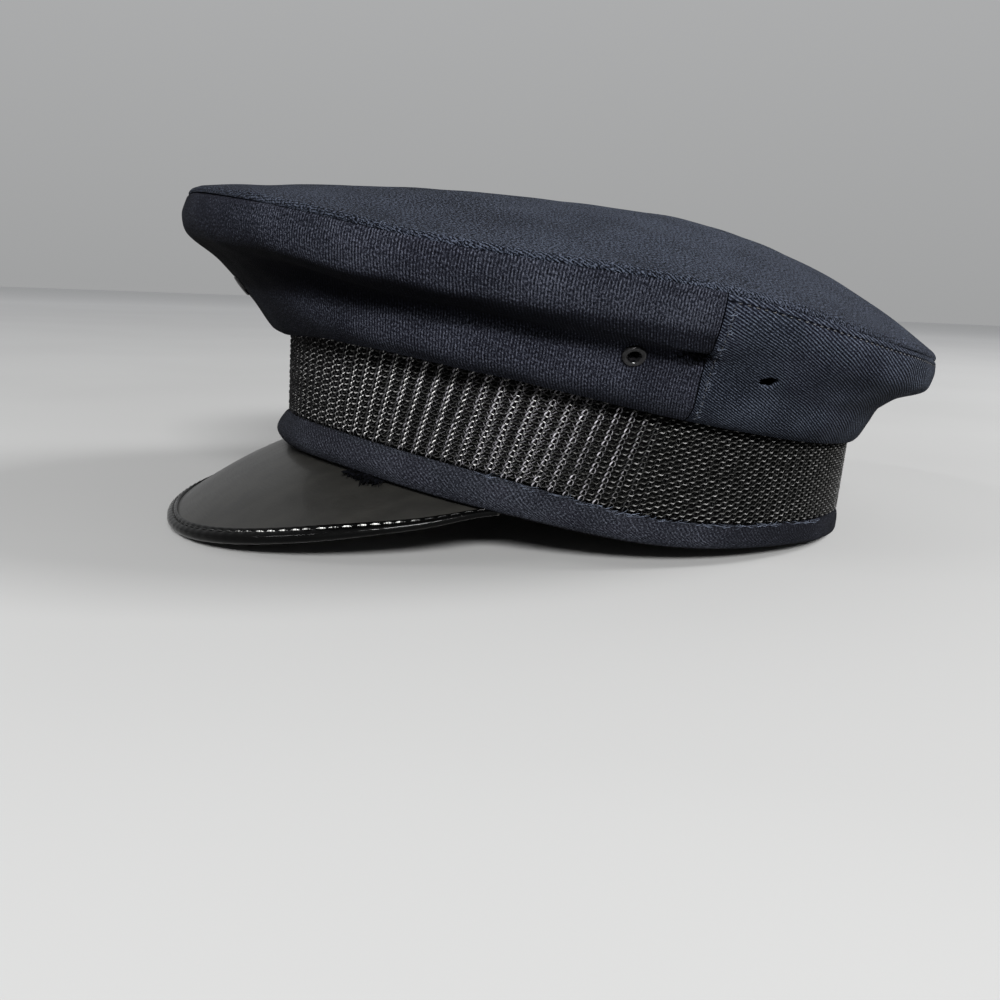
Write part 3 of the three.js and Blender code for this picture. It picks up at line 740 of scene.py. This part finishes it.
def braid_crossings(columns, pitch, row):
    """Thin slanted threads that fill the gaps between the columns."""
    places, rows, turns = np.meshgrid(np.arange(columns * 2) - columns + 0.5, row, [-1, 1], indexing="ij")
    t = np.linspace(-0.5, 0.5, 4)
    run = (places + rng.normal(0, 0.03, places.shape))[..., None] * pitch / 2 + t * 1.7
    slope = turns * rng.uniform(0.8, 1.1, places.shape)
    height = (rows + rng.normal(0.4, 0.08, places.shape))[..., None] + slope[..., None] * t * 1.5
    away = np.abs(run)
    shown = plateau(away, *CROSSING_SHOWN)
    # random tone with painted light: the crossings are painted brighter towards the side zone
    glint_and_tone = shown * (0.6 + 0.4 * smoothstep(away, 60, 100)) \
        * rng.uniform(0.24, 0.44, places.shape)[..., None]
    braid_thread("braid_crossings", run, height, 0.42 * np.cos(np.pi * t) - 1.30, 0.11, glint_and_tone, run, 1.0,
                 CROSSING_TONES, among=shown.min(axis=-1) > 0.02)


def braid_backing():
    angles = np.linspace(0, 360, 361)[:, None]
    low, top = welt_top(angles) - 0.2, section("fold", angles) + 2
    height = low + (top - low) * np.linspace(0, 1, 16)
    finish = Finish("braid_backing", Roughness=0.6, Specular_IOR_Level=0.05)
    net = finish.math("MULTIPLY", finish.wave(finish.math("ADD", finish.u, finish.v), 1.5),
                      finish.wave(finish.math("SUBTRACT", finish.u, finish.v), 1.5))
    finish.bump(net, 0.0003)
    tones = [(0.2, (0.0003, 0.0003, 0.0003)), (0.9, (0.0020, 0.0020, 0.0021))]
    finish.drive(Base_Color=finish.ramp(net, tones))
    ring_piece("braid_backing", on_band(angles, -2.0, height), on_band(angles, -2.4, height)[:, ::-1],
               finish.material, "braid", ["braid_band"])


def braid():
    columns = round(BAND_LENGTH / COLUMN_PITCH)
    pitch = BAND_LENGTH / columns
    row = np.arange(BRAID_ROWS) * ROW_PITCH + 0.8
    braid_links((np.arange(columns) - columns / 2) * pitch, row)
    braid_loops(columns, pitch, row)
    braid_crossings(columns, pitch, row)
    braid_backing()


# Head band, inside the cap
def lining_finish():
    finish = Finish("lining", Roughness=0.8, Specular_IOR_Level=0.2, Sheen_Weight=0.1)
    weave = finish.math("MULTIPLY", finish.wave(finish.u, 0.9), finish.wave(finish.v, 0.9))
    fibre = finish.noise(finish.uv, 2.0, 3)
    finish.bump(finish.math("ADD", weave, fibre), 0.0001)
    finish.drive(Base_Color=finish.ramp(fibre, [(0.3, (0.006, 0.006, 0.008)), (0.8, (0.018, 0.018, 0.022))]))
    return finish.material


def headband():
    angles = np.linspace(0, 360, 241)[:, None]
    share = np.concatenate([[0.0, 0.004], np.linspace(0.02, 0.98, 20), [0.996, 1.0]])[None, :]
    low, top = section("base", angles) + 0.6, section("fold", angles) + 6
    height = low + (top - low) * share
    pinch = np.where((share == 0) | (share == 1), 0.4, 0)
    ring_piece("headband_lining", on_band(angles, -2.7 - pinch, height),
               on_band(angles, -4.7 + pinch, height)[:, ::-1], lining_finish(), "band_cloth", ["headband"])


# Welt round the foot of the band: part of the way up, share of the bulge, distance out
WELT_FACE = [(0, 0, -0.8), (0.08, 0.5, 0), (0.4, 1, 0), (0.85, 0.35, 0), (1, 0, -0.6)]
WELT_BACK = -2.4


def welt_point(angle, part):
    angle, part = arrays(angle, part)
    share = through_knots([(p, s) for p, s, _ in WELT_FACE], part)
    out = through_knots([(p, o) for p, _, o in WELT_FACE], part)
    height = section("base", angle) + (section("welt", angle) - SEAM_GAP) * part
    return on_band(angle, section("bulge", angle) * share + out, height)


def welt():
    angles = np.linspace(0, 360, 541)[:, None]
    parts = graded(0, 1, 30, [0, 1], 0.12, 3)[None, :]
    face = welt_point(angles, parts)
    normal = grid_normals(face, True)
    normal = normal * np.sign(normal[0, 15] @ (face[0, 15] - (0, 0, 20)))
    face = face + normal * (rumple(face * 1.6, 0.10) * np.sin(np.pi * parts))[..., None]
    height = section("base", angles) + (section("welt", angles) - SEAM_GAP) * np.linspace(1, 0, 8)
    # painted shade: the welt grows darker towards the back
    shade = smoothstep(from_front(angles), 80, 116)
    return ring_piece("welt_cloth", face, on_band(angles, WELT_BACK, height), WELT_CLOTH, "cap_cloth",
                      ["band_welt"], shade)


# Visor. A side is an angle round it from -90 to 90, and across goes from its root, 0, to its edge, 1.
VISOR = {
    "thick": 1.5, "tip_ahead": 142.4, "tip_height": -14.5, "fall": 1.3, "power": 2.3, "crown": 0.045,
    "corner_angle": 62, "corner_out": -0.4, "corner_below": 1.3, "root_out": -1.2, "root_below": 0.5,
    "flange": -5, "flange_tall": 7, "flange_foot": 0.4, "last_side": 89.4, "thin_from": 55,
    "end_scale": 0.55, "tucked_from": 72, "tuck": 1.6,
}
VISOR_STEPS, VISOR_ACROSS = 241, 44
BINDING_WALL, BINDING_DEEP, BINDING_PAST = 0.65, 4.6, 1.5
# the binding's upper half from its open side, -1, to its nose, 1, with the stitches' groove at -0.5
BINDING_OUTLINE = [
    (-1.0, 0.55), (-1.0, 0.86), (-0.93, 0.97), (-0.82, 1.0), (-0.7, 1.0), (-0.6, 0.97), (-0.5, 0.9),
    (-0.4, 0.97), (-0.28, 1.02), (-0.1, 1.03), (0.1, 1.02), (0.35, 0.96), (0.6, 0.84), (0.82, 0.62),
    (0.95, 0.35), (1.0, 0.0),
]
BINDING_STITCH, BINDING_STITCH_LONG = 4.0, 3.2
# sides where the binding's stitches get painted glints
STITCHES_SHINE = 34, 50, 70, 80


def visor_edge(side):
    side = np.asarray(side, float)
    corner = on_oval(BAND, VISOR["corner_angle"], VISOR["corner_out"], 0)
    corner_z = section("base", VISOR["corner_angle"]) - VISOR["corner_below"]
    s, c = np.sin(np.radians(side)), np.maximum(np.cos(np.radians(side)), 0)
    share = c ** (2 / VISOR["power"])
    x = corner[0] * np.sign(s) * np.abs(s) ** (2 / VISOR["power"])
    y = corner[1] + (-VISOR["tip_ahead"] - corner[1]) * share
    z = corner_z + (VISOR["tip_height"] - corner_z) * share ** VISOR["fall"]
    edge = np.stack([x, y, z], axis=-1)
    tucked = smoothstep(np.abs(side), VISOR["tucked_from"], VISOR["last_side"])[..., None] ** 2
    return edge + ((0, 0, VISOR["tuck"]) - unit(edge * LEVEL) * VISOR["tuck"]) * tucked


def root_angle(side):
    return np.asarray(side, float) * VISOR["corner_angle"] / 90


def edge_scale(side):
    thin = 1 + (VISOR["end_scale"] - 1) * smoothstep(np.abs(side), VISOR["thin_from"], VISOR["last_side"])
    return thin * (1 - 0.15 * smoothstep(np.abs(side), 80, VISOR["last_side"]))


def visor_point(side, across):
    side, across = arrays(side, across)
    angle = root_angle(side)
    root = on_band(angle, VISOR["root_out"], section("base", angle) - VISOR["root_below"])
    line = visor_edge(side) - root
    length = np.linalg.norm(line, axis=-1)
    point = root + line * across[..., None]
    point[..., 2] += VISOR["crown"] * length * np.cos(np.radians(side)) * 4 * across * (1 - across)
    return point


def visor_normal(side, across):
    side, across = np.clip(side, -82, 82), np.clip(across, 0.1, 0.9)
    along = visor_point(side, across + 0.01) - visor_point(side, across - 0.01)
    around = visor_point(side + 1, across) - visor_point(side - 1, across)
    normal = unit(np.cross(along, around))
    return normal * np.sign(normal[..., 2:])


def patent_finish(name, roughness, haze, gloss, coat):
    """Patent leather: a glossy coat over a hazy black base, with fine scratches and gentle waves, and in its
    colour dust clouds and slanted streaks of painted reflection.
    """
    finish = Finish(name, Specular_IOR_Level=gloss, Coat_Weight=coat, Coat_Roughness=0.08)
    swirl = finish.noise(finish.uv, 0.05, 2)
    pores = finish.noise(finish.uv, 1.3, 2)
    scratch = finish.noise(finish.stretched(finish.u, 0.12, finish.v, 2.4), 1.0, 4)
    slanted = finish.weighted((finish.u, 1), (finish.v, 0.5))
    reflection_streak = finish.noise(finish.stretched(slanted, 0.075, finish.v, 0.012), 1.0, 2)
    clouds = finish.math("MULTIPLY", finish.noise(finish.uv, 0.09, 4), finish.noise(finish.uv, 2.6, 2))
    # dust clouds and painted reflection streaks lighten the base
    dust_and_painted_light = finish.weighted((clouds, 1), (reflection_streak, 0.55), plus=-0.27)
    finish.drive(
        Roughness=finish.weighted((pores, 0.05), (scratch, 0.12), (swirl, 0.08), plus=roughness - 0.12),
        Base_Color=finish.ramp(dust_and_painted_light, [(0.12, haze), (0.5, tuple(2.2 * h for h in haze))]))
    finish.bump(finish.weighted((swirl, 1), (pores, 0.05)), 0.0006)
    return finish.material


PATENT = patent_finish("patent", 0.43, (0.0056, 0.0054, 0.0047), 0.50, 0.12)
PATENT_EDGE = patent_finish("patent_edge", 0.16, (0.0006, 0.0006, 0.0006), 0.08, 0.0)


def visor():
    sides = np.linspace(-VISOR["last_side"], VISOR["last_side"], VISOR_STEPS)
    side, across = arrays(sides[:, None], np.linspace(0.02, 1, VISOR_ACROSS))
    face = visor_point(side, across)
    back = face - visor_normal(side, across) * (VISOR["thick"] * edge_scale(side))[..., None]
    angle = root_angle(sides)
    base = section("base", angle)
    flange, flange_back = VISOR["flange"], VISOR["flange"] - VISOR["thick"]
    flange_top = base + VISOR["flange_tall"]
    front = [on_band(angle, flange, flange_top), on_band(angle, flange, base + VISOR["flange_foot"])]
    behind = [on_band(angle, flange_back, base - VISOR["thick"]), on_band(angle, flange_back, flange_top)]
    front, behind = np.stack(front, axis=1), np.stack(behind, axis=1)
    points = np.concatenate([front, face, back[:, ::-1], behind, front[:, :1]], axis=1)
    run = steps_along(points)[:, [VISOR_ACROSS // 2 + 2]]
    patches = [patch(points, uv_of(run, steps_across(points)), loop=True)]
    half = points.shape[1] // 2
    for row in (0, -1):
        rim = np.stack([points[row, :half], points[row, -2:half - 1:-1]])
        patches.append(patch(rim, np.zeros((2, half, 2))))
    piece("visor_sheet", patches, PATENT, ["visor"])


def binding_frame(side):
    """Edge point, outward and upward directions, scale of the strip and half the sheet."""
    scale = edge_scale(side)
    half = VISOR["thick"] * scale / 2
    up = visor_normal(side, np.ones_like(side))
    edge = visor_edge(side) - up * half[..., None]
    ahead = visor_edge(np.minimum(side + 0.5, 90)) - visor_edge(np.maximum(side - 0.5, -90))
    out = unit(np.cross(ahead, up))
    out = out * np.sign(np.sum(out * (edge - np.array([0, -60, 0])), axis=-1))[..., None]
    return edge, out, up, scale, half


def visor_thread_finish():
    finish = Finish("visor_thread", Roughness=0.35, Specular_IOR_Level=0.3)
    twist = finish.wave(finish.u, 0.55)
    speck = finish.math("MULTIPLY_ADD", finish.noise(finish.uv, 1.4, 1), 3.2, -1.1)
    # painted glints, as strong as each stitch's shine allows
    glint = finish.math("MULTIPLY", finish.v, speck)
    glint = finish.math("MULTIPLY", glint, finish.math("MULTIPLY_ADD", twist, 0.6, 0.7))
    finish.bump(twist, 0.0001)
    finish.drive(Base_Color=finish.ramp(glint, [(0.10, (0.003, 0.003, 0.003)), (0.75, (0.60, 0.60, 0.58))]))
    return finish.material


def binding():
    sides = np.linspace(-VISOR["last_side"], VISOR["last_side"], 721)
    edge, out, up, scale, half = binding_frame(sides)
    run = steps_along(edge)
    skin = half + SEAM_GAP + BINDING_WALL * scale
    nose = BINDING_PAST * scale
    back = BINDING_DEEP * scale - nose
    rows = []
    for reach, rise in BINDING_OUTLINE + [(x, -y) for x, y in BINDING_OUTLINE[-2::-1]]:
        pull = (0.05 if abs(reach + 0.5) < 0.12 else 0.018) * np.cos(run * 2 * np.pi / BINDING_STITCH)
        rows.append(edge + out * (reach * np.where(reach < 0, back, nose))[:, None]
                    + up * ((rise + np.sign(rise) * pull) * skin)[:, None])
    points = np.stack(rows + rows[:1], axis=1)
    uv = uv_of(run[:, None], steps_across(points))
    piece("binding_strip", [patch(points, uv, loop=True)], PATENT_EDGE, ["visor_binding"])
    binding_stitches(sides, run)


def binding_stitches(sides, run):
    """Stitches in the groove of the strip."""
    starts = np.arange(run[0] + 3, run[-1] - 5, BINDING_STITCH)[:, None]
    t = np.linspace(0, 1, 7)
    place = starts + 0.35 + t * BINDING_STITCH_LONG + rng.normal(0, 0.2, starts.shape)
    side = np.interp(place, run, sides)
    edge, out, up, scale, half = binding_frame(side)
    skin = half + SEAM_GAP + BINDING_WALL * scale
    reach = -0.5 * (BINDING_DEEP - BINDING_PAST) * scale
    line = edge + out * reach[..., None] + up * (skin * 0.86 + 0.22 * np.sin(np.pi * t))[..., None]
    # painted glints: the stitches are bright on a stretch of each side and dim elsewhere
    shine = (0.12 + 0.88 * plateau(np.abs(side), *STITCHES_SHINE)) * rng.uniform(0.35, 1.0, starts.shape)
    thread = tubes(line, up, 0.26 * tube_ends(7), 6, uv_of(place, shine))
    piece("binding_stitches", [thread], visor_thread_finish())


# Eyelets
def metal_finish():
    finish = Finish("eyelet_metal", Specular_IOR_Level=0.26)
    wear = finish.noise(finish.uv, 0.9, 3)
    finish.drive(
        Roughness=finish.math("MULTIPLY_ADD", wear, 0.2, 0.08),
        Base_Color=finish.ramp(wear, [(0.35, (0.0012, 0.0012, 0.0014)), (0.8, (0.012, 0.012, 0.013))]))
    finish.bump(wear, 0.00004)
    return finish.material


METAL = metal_finish()


def eyelet(spot, outer, bore, stands_for):
    """A rolled flange outside, a tube through the cloth and a flat ring inside, turned round the bore."""
    angle, down, hole = HOLES[spot]
    centre, axis = wall_spot(angle, down)
    level = unit(np.cross([0, 0, 1], axis))
    steep = np.cross(axis, level)
    turn = np.linspace(0, 2 * np.pi, 49)
    middle, half = (outer + bore) / 2, (outer - bore) / 2
    rows = [(middle + half * np.cos(f), 0.05 + np.sin(f)) for f in np.linspace(0, np.pi, 10)]
    rows += [(bore, z) for z in (-0.4, -1.2, -2.0, -2.6)]
    rows += [(bore + 0.3, -2.9), (outer - 0.9, -2.9), (outer - 0.4, -2.7), (outer - 0.4, -2.3),
             (hole - 0.3, -2.1), (hole - 0.3, -0.4), (outer - 0.3, -0.2)]
    circle = np.cos(turn)[:, None] * level + np.sin(turn)[:, None] * steep
    points = np.stack([centre + r * circle + z * axis for r, z in rows + rows[:1]], axis=1)
    uv = uv_of((turn * middle)[:, None], steps_across(points))
    name = f"{spot}_eyelet_ring"
    return piece(name, [patch(points, uv, ring=True, loop=True)], METAL, [stands_for])


# Stitching on the crown: a row under the rim seam behind the side seams, and one beside each side seam
SIDE_SEAMS = (91.1, 268.9)
RIM_STITCHES = {"first": 0.3, "past": 0.7, "pitch": 2.7, "long": 2.0, "sunk": 0.16, "rise": 0.14}
SIDE_STITCHES = {"first": 1.0, "past": 2.5, "pitch": 2.6, "long": 1.9, "sunk": 0.12, "rise": 0.16}
RIM_STITCH_DOWN = 2.0 / 56
CROWN_THREAD = 0.16


def crown_thread_finish():
    finish = Finish("crown_thread", Roughness=0.7, Specular_IOR_Level=0.3, Sheen_Weight=0.2)
    twist = finish.wave(finish.weighted((finish.u, 1), (finish.v, 2)), 0.45)
    finish.bump(twist, 0.0001)
    tones = [(0.1, (0.0015, 0.0018, 0.003)), (0.9, (0.006, 0.007, 0.010))]
    finish.drive(Base_Color=finish.ramp(twist, tones))
    return finish.material


def stitch_row(run, angles, downs, kind):
    """Stitches along a line of places on the wall, a pitch apart."""
    t = np.linspace(0, 1, 5)
    place = np.arange(kind["first"], run[-1] - kind["past"], kind["pitch"])[:, None] + t * kind["long"]
    angle, down = np.interp(place, run, angles), np.interp(place, run, downs)
    normal = wall_normal(angle, down)
    line = wall_surface(angle, down) + normal * (kind["rise"] * np.sin(np.pi * t) - kind["sunk"])[:, None]
    return tubes(line, normal, CROWN_THREAD * tube_ends(5), 5, uv_of(place, t))


def crown_stitches():
    angles = np.linspace(91, 269, 1441)
    run = steps_along(wall_surface(angles, 0.04))
    rows = [stitch_row(run, angles, np.full(angles.shape, RIM_STITCH_DOWN), RIM_STITCHES)]
    downs = np.linspace(0.03, 0.97, 400)
    for seam in SIDE_SEAMS:
        run = steps_along(wall_surface(seam, downs))
        rows.append(stitch_row(run, np.full(downs.shape, seam), downs, SIDE_STITCHES))
    piece("crown_stitches", rows, crown_thread_finish())


# Frayed threads
EDGE_THREADS, SEAM_THREADS, CLUMP_THREADS, CLUMP_HAIRS, CREASE_THREADS = 150, 220, 90, 40, 90
CLUMP_ANGLE, CREASE_SPOT = 36.6, (88.3, 0.475)


def fray_finish(name, light):
    finish = Finish(name, Roughness=0.9, Specular_IOR_Level=0.03)
    tone = finish.noise(finish.uv, 0.8, 2)
    finish.bump(tone, 0.00003)
    finish.drive(Base_Color=finish.ramp(tone, [(0.35, tuple(0.06 * c for c in light)), (0.7, light)]))
    return finish.material


def strands(roots, outward, drift, length, radius, spread, seed):
    """Short curled threads that leave their roots along a drift."""
    local = np.random.default_rng(seed)
    t = np.linspace(0, 1, 7)[None, :, None]
    long = length * local.uniform(0.45, 1.0, (len(roots), 1, 1))
    bend = local.normal(0, spread, (len(roots), 1, 3))
    curl = local.normal(0, spread * 0.6, (len(roots), 1, 3))
    lines = roots[:, None] + long * t * (drift[:, None] + bend * t + curl * np.sin(np.pi * t))
    lines = lines + outward[:, None] * 0.5 * np.sin(np.pi * t)
    normals = np.broadcast_to(unit(outward + 0.01)[:, None], lines.shape)
    uv = uv_of(np.arange(len(roots))[:, None] * 3.0, t[..., 0])
    return tubes(lines, normals, radius * tube_ends(7), 4, uv)


def along_band(angle):
    return unit(on_band(angle + 1, 0, 20) - on_band(angle, 0, 20))


def light_frays(local):
    """Threads along the raw upper edge of the welt, and cut ends along each side seam."""
    angle = local.uniform(58, 128, EDGE_THREADS)
    root = welt_point(angle, local.uniform(0.93, 1.0, EDGE_THREADS)) + (0, 0, 0.1)
    outward = unit(root * LEVEL)
    drift = along_band(angle) * local.choice([-1, 1], EDGE_THREADS)[:, None] + (0, 0, 0.10)
    edge = strands(root + outward * 0.15, outward, drift, 4.6, 0.075, 0.16, 3)
    down = local.uniform(0.06, 0.96, SEAM_THREADS)
    left = np.arange(SEAM_THREADS) % 2 == 0
    seam = np.where(left, 90.9, 269.1) + local.uniform(-0.5, 0.5, SEAM_THREADS)
    root, outward = wall_spot(seam, down)
    back = unit(wall_surface(seam + 1, down) - wall_surface(seam, down)) * np.where(left, 1, -1)[:, None]
    ends = strands(root - outward * 0.15, outward, back * 0.8 + (0, 0, 0.55), 1.9, 0.085, 0.2, 6)
    piece("cut_ends", [edge, ends], fray_finish("fray_light", (0.10, 0.115, 0.15)))


def dark_frays(local):
    """A clump that hangs from the welt's lower edge over the visor, and the crumpled end of the crease."""
    angle = np.concatenate([
        local.normal(CLUMP_ANGLE, 1.5, CLUMP_THREADS), local.uniform(32, 41, CLUMP_HAIRS)])
    root = welt_point(angle, 0.03)
    outward = unit(root * LEVEL)
    drift = outward * 0.75 + along_band(angle) * local.normal(-0.1, 0.5, len(angle))[:, None] + (0, 0, -0.30)
    thick = np.concatenate([local.uniform(0.3, 0.6, CLUMP_THREADS), local.uniform(0.12, 0.2, CLUMP_HAIRS)])
    clump = strands(root, outward, drift, 4.2, thick[:, None], 0.24, 4)
    spot = local.normal(CREASE_SPOT, (1.3, 0.025), (CREASE_THREADS, 2))
    root, outward = wall_spot(spot[:, 0], spot[:, 1])
    drift = local.normal(0, 0.6, (CREASE_THREADS, 3)) + (0, 0.3, -0.3)
    crumple = strands(root, outward, drift, 3.2, 0.13, 0.25, 5)
    piece("dark_frays", [clump, crumple], fray_finish("fray_dark", (0.0012, 0.0013, 0.0022)))


# The pieces
top_cloth = crown_top()
front_cloth = crown_panel(
    "front_panel_cloth", -89.9, 89.9, 372, 86, list(HOLES.values()), FRONT_CLOTH, "crown_front_panel")
rear_cloth = crown_panel(
    "rear_panel_cloth", 90.1, 269.9, 312, 74, BARE_HOLES, REAR_CLOTH, "crown_rear_panel")
crown_stitches()
braid()
headband()
welt_cloth = welt()
visor()
binding()
fray_rng = np.random.default_rng(21)
light_frays(fray_rng)
dark_frays(fray_rng)
rings = [eyelet("badge", 4.0, 1.7, "badge_eyelet"), eyelet("left", 3.5, 1.75, "left_vent_eyelet"),
         eyelet("right", 3.5, 1.75, "right_vent_eyelet")]

# Stage
FLOOR_RADIUS, FLOOR_RINGS, FLOOR_SPOKES, FLOOR_BELOW = 9.0, 24, 64, 0.0003
FLOOR_NEAR, FLOOR_FAR = (0.27, 0.27, 0.268), (0.64, 0.642, 0.645)
SKY_LOW, SKY_HIGH = (0.355, 0.358, 0.36), (0.46, 0.465, 0.47)


def floor():
    """A round sheet of paper that grows paler away from the cap."""
    r = np.linspace(0.001, 1, FLOOR_RINGS) ** 2.5 * FLOOR_RADIUS
    turn = np.linspace(0, 2 * np.pi, FLOOR_SPOKES + 1)[:, None]
    level = np.zeros((FLOOR_SPOKES + 1, FLOOR_RINGS))
    points = np.stack([np.cos(turn) * r, np.sin(turn) * r, level], axis=-1)
    vertices, faces, face_uv = patch(points, points[..., :2], ring=True)
    mesh = bpy.data.meshes.new("floor")
    mesh.from_pydata(vertices, [], faces)
    mesh.uv_layers.new(name="weave").data.foreach_set("uv", face_uv.astype(np.float32).ravel())
    finish = Finish("floor_paper", Roughness=0.9, Specular_IOR_Level=0.1)
    length = new_node(finish.tree, "ShaderNodeVectorMath", {0: finish.uv}, operation="LENGTH")
    shade = finish.weighted((finish.noise(finish.uv, 3.0, 2), 0.1), (length.outputs["Value"], 0.22))
    finish.drive(Base_Color=finish.ramp(shade, [(0.1, FLOOR_NEAR), (0.8, FLOOR_FAR)]))
    mesh.materials.append(finish.material)
    made = bpy.data.objects.new("floor", mesh)
    made.location.z = -FLOOR_BELOW
    bpy.context.scene.collection.objects.link(made)


def studio_world():
    """Pale backdrop, brighter towards its top."""
    world = bpy.data.worlds.new("studio")
    world.use_nodes = True
    tree = world.node_tree
    facing = new_node(tree, "ShaderNodeTexCoord").outputs["Generated"]
    height = new_node(tree, "ShaderNodeSeparateXYZ", {0: facing}).outputs[2]
    ramp = new_node(tree, "ShaderNodeValToRGB", {0: height})
    low, high = ramp.color_ramp.elements
    low.position, low.color = 0.0, (*SKY_LOW, 1)
    high.position, high.color = 0.5, (*SKY_HIGH, 1)
    tree.links.new(ramp.outputs[0], tree.nodes["Background"].inputs["Color"])
    bpy.context.scene.world = world


def matrix_of(axes, at):
    """The matrix whose columns are three directions and a place."""
    return Matrix([[axis[k] for axis in axes] + [at[k]] for k in range(3)] + [[0, 0, 0, 1]])


# Camera, fitted in the cap's frame: place in millimetres, and its right, up and forward directions
CAMERA_AT = np.array([353.5, -139.3, 63.2])
CAMERA_AXES = np.array([[0.289, 0.9516, 0.1042], [-0.202, -0.0457, 0.9783], [-0.9358, 0.3038, -0.179]])
CAMERA_LENS = 36


def studio_camera():
    data = bpy.data.cameras.new("camera")
    data.lens, data.sensor_width = CAMERA_LENS, CAMERA_LENS
    data.clip_start, data.clip_end = 0.01, 50
    camera = bpy.data.objects.new("camera", data)
    right, up, forward = unit(placed(CAMERA_AXES / MM) - placed(np.zeros(3)))
    camera.matrix_world = matrix_of([right, up, -forward], placed(CAMERA_AT))
    bpy.context.scene.collection.objects.link(camera)
    bpy.context.scene.camera = camera


def area_light(name, at, aim, size, power):
    data = bpy.data.lights.new(name, "AREA")
    data.shape, data.size, data.size_y = "RECTANGLE", size[0], size[1]
    data.energy = power
    made = bpy.data.objects.new(name, data)
    away = unit(np.asarray(at, float) - np.asarray(aim, float))
    side = unit(np.cross([0, 0, 1], away))
    made.matrix_world = matrix_of([side, np.cross(away, side), away], at)
    bpy.context.scene.collection.objects.link(made)


floor()
studio_world()
studio_camera()
area_light("key", (2.14, -0.40, 1.09), (0, 0, 0.05), (0.9, 0.30), 148)
area_light("top", (0.68, 1.70, 1.60), (0, 0.02, 0.08), (0.8, 0.8), 57)
area_light("edge", (0.55, -1.90, 1.35), (0, -0.05, 0.05), (0.8, 0.06), 12)
bpy.context.scene.view_settings.view_transform = "Standard"
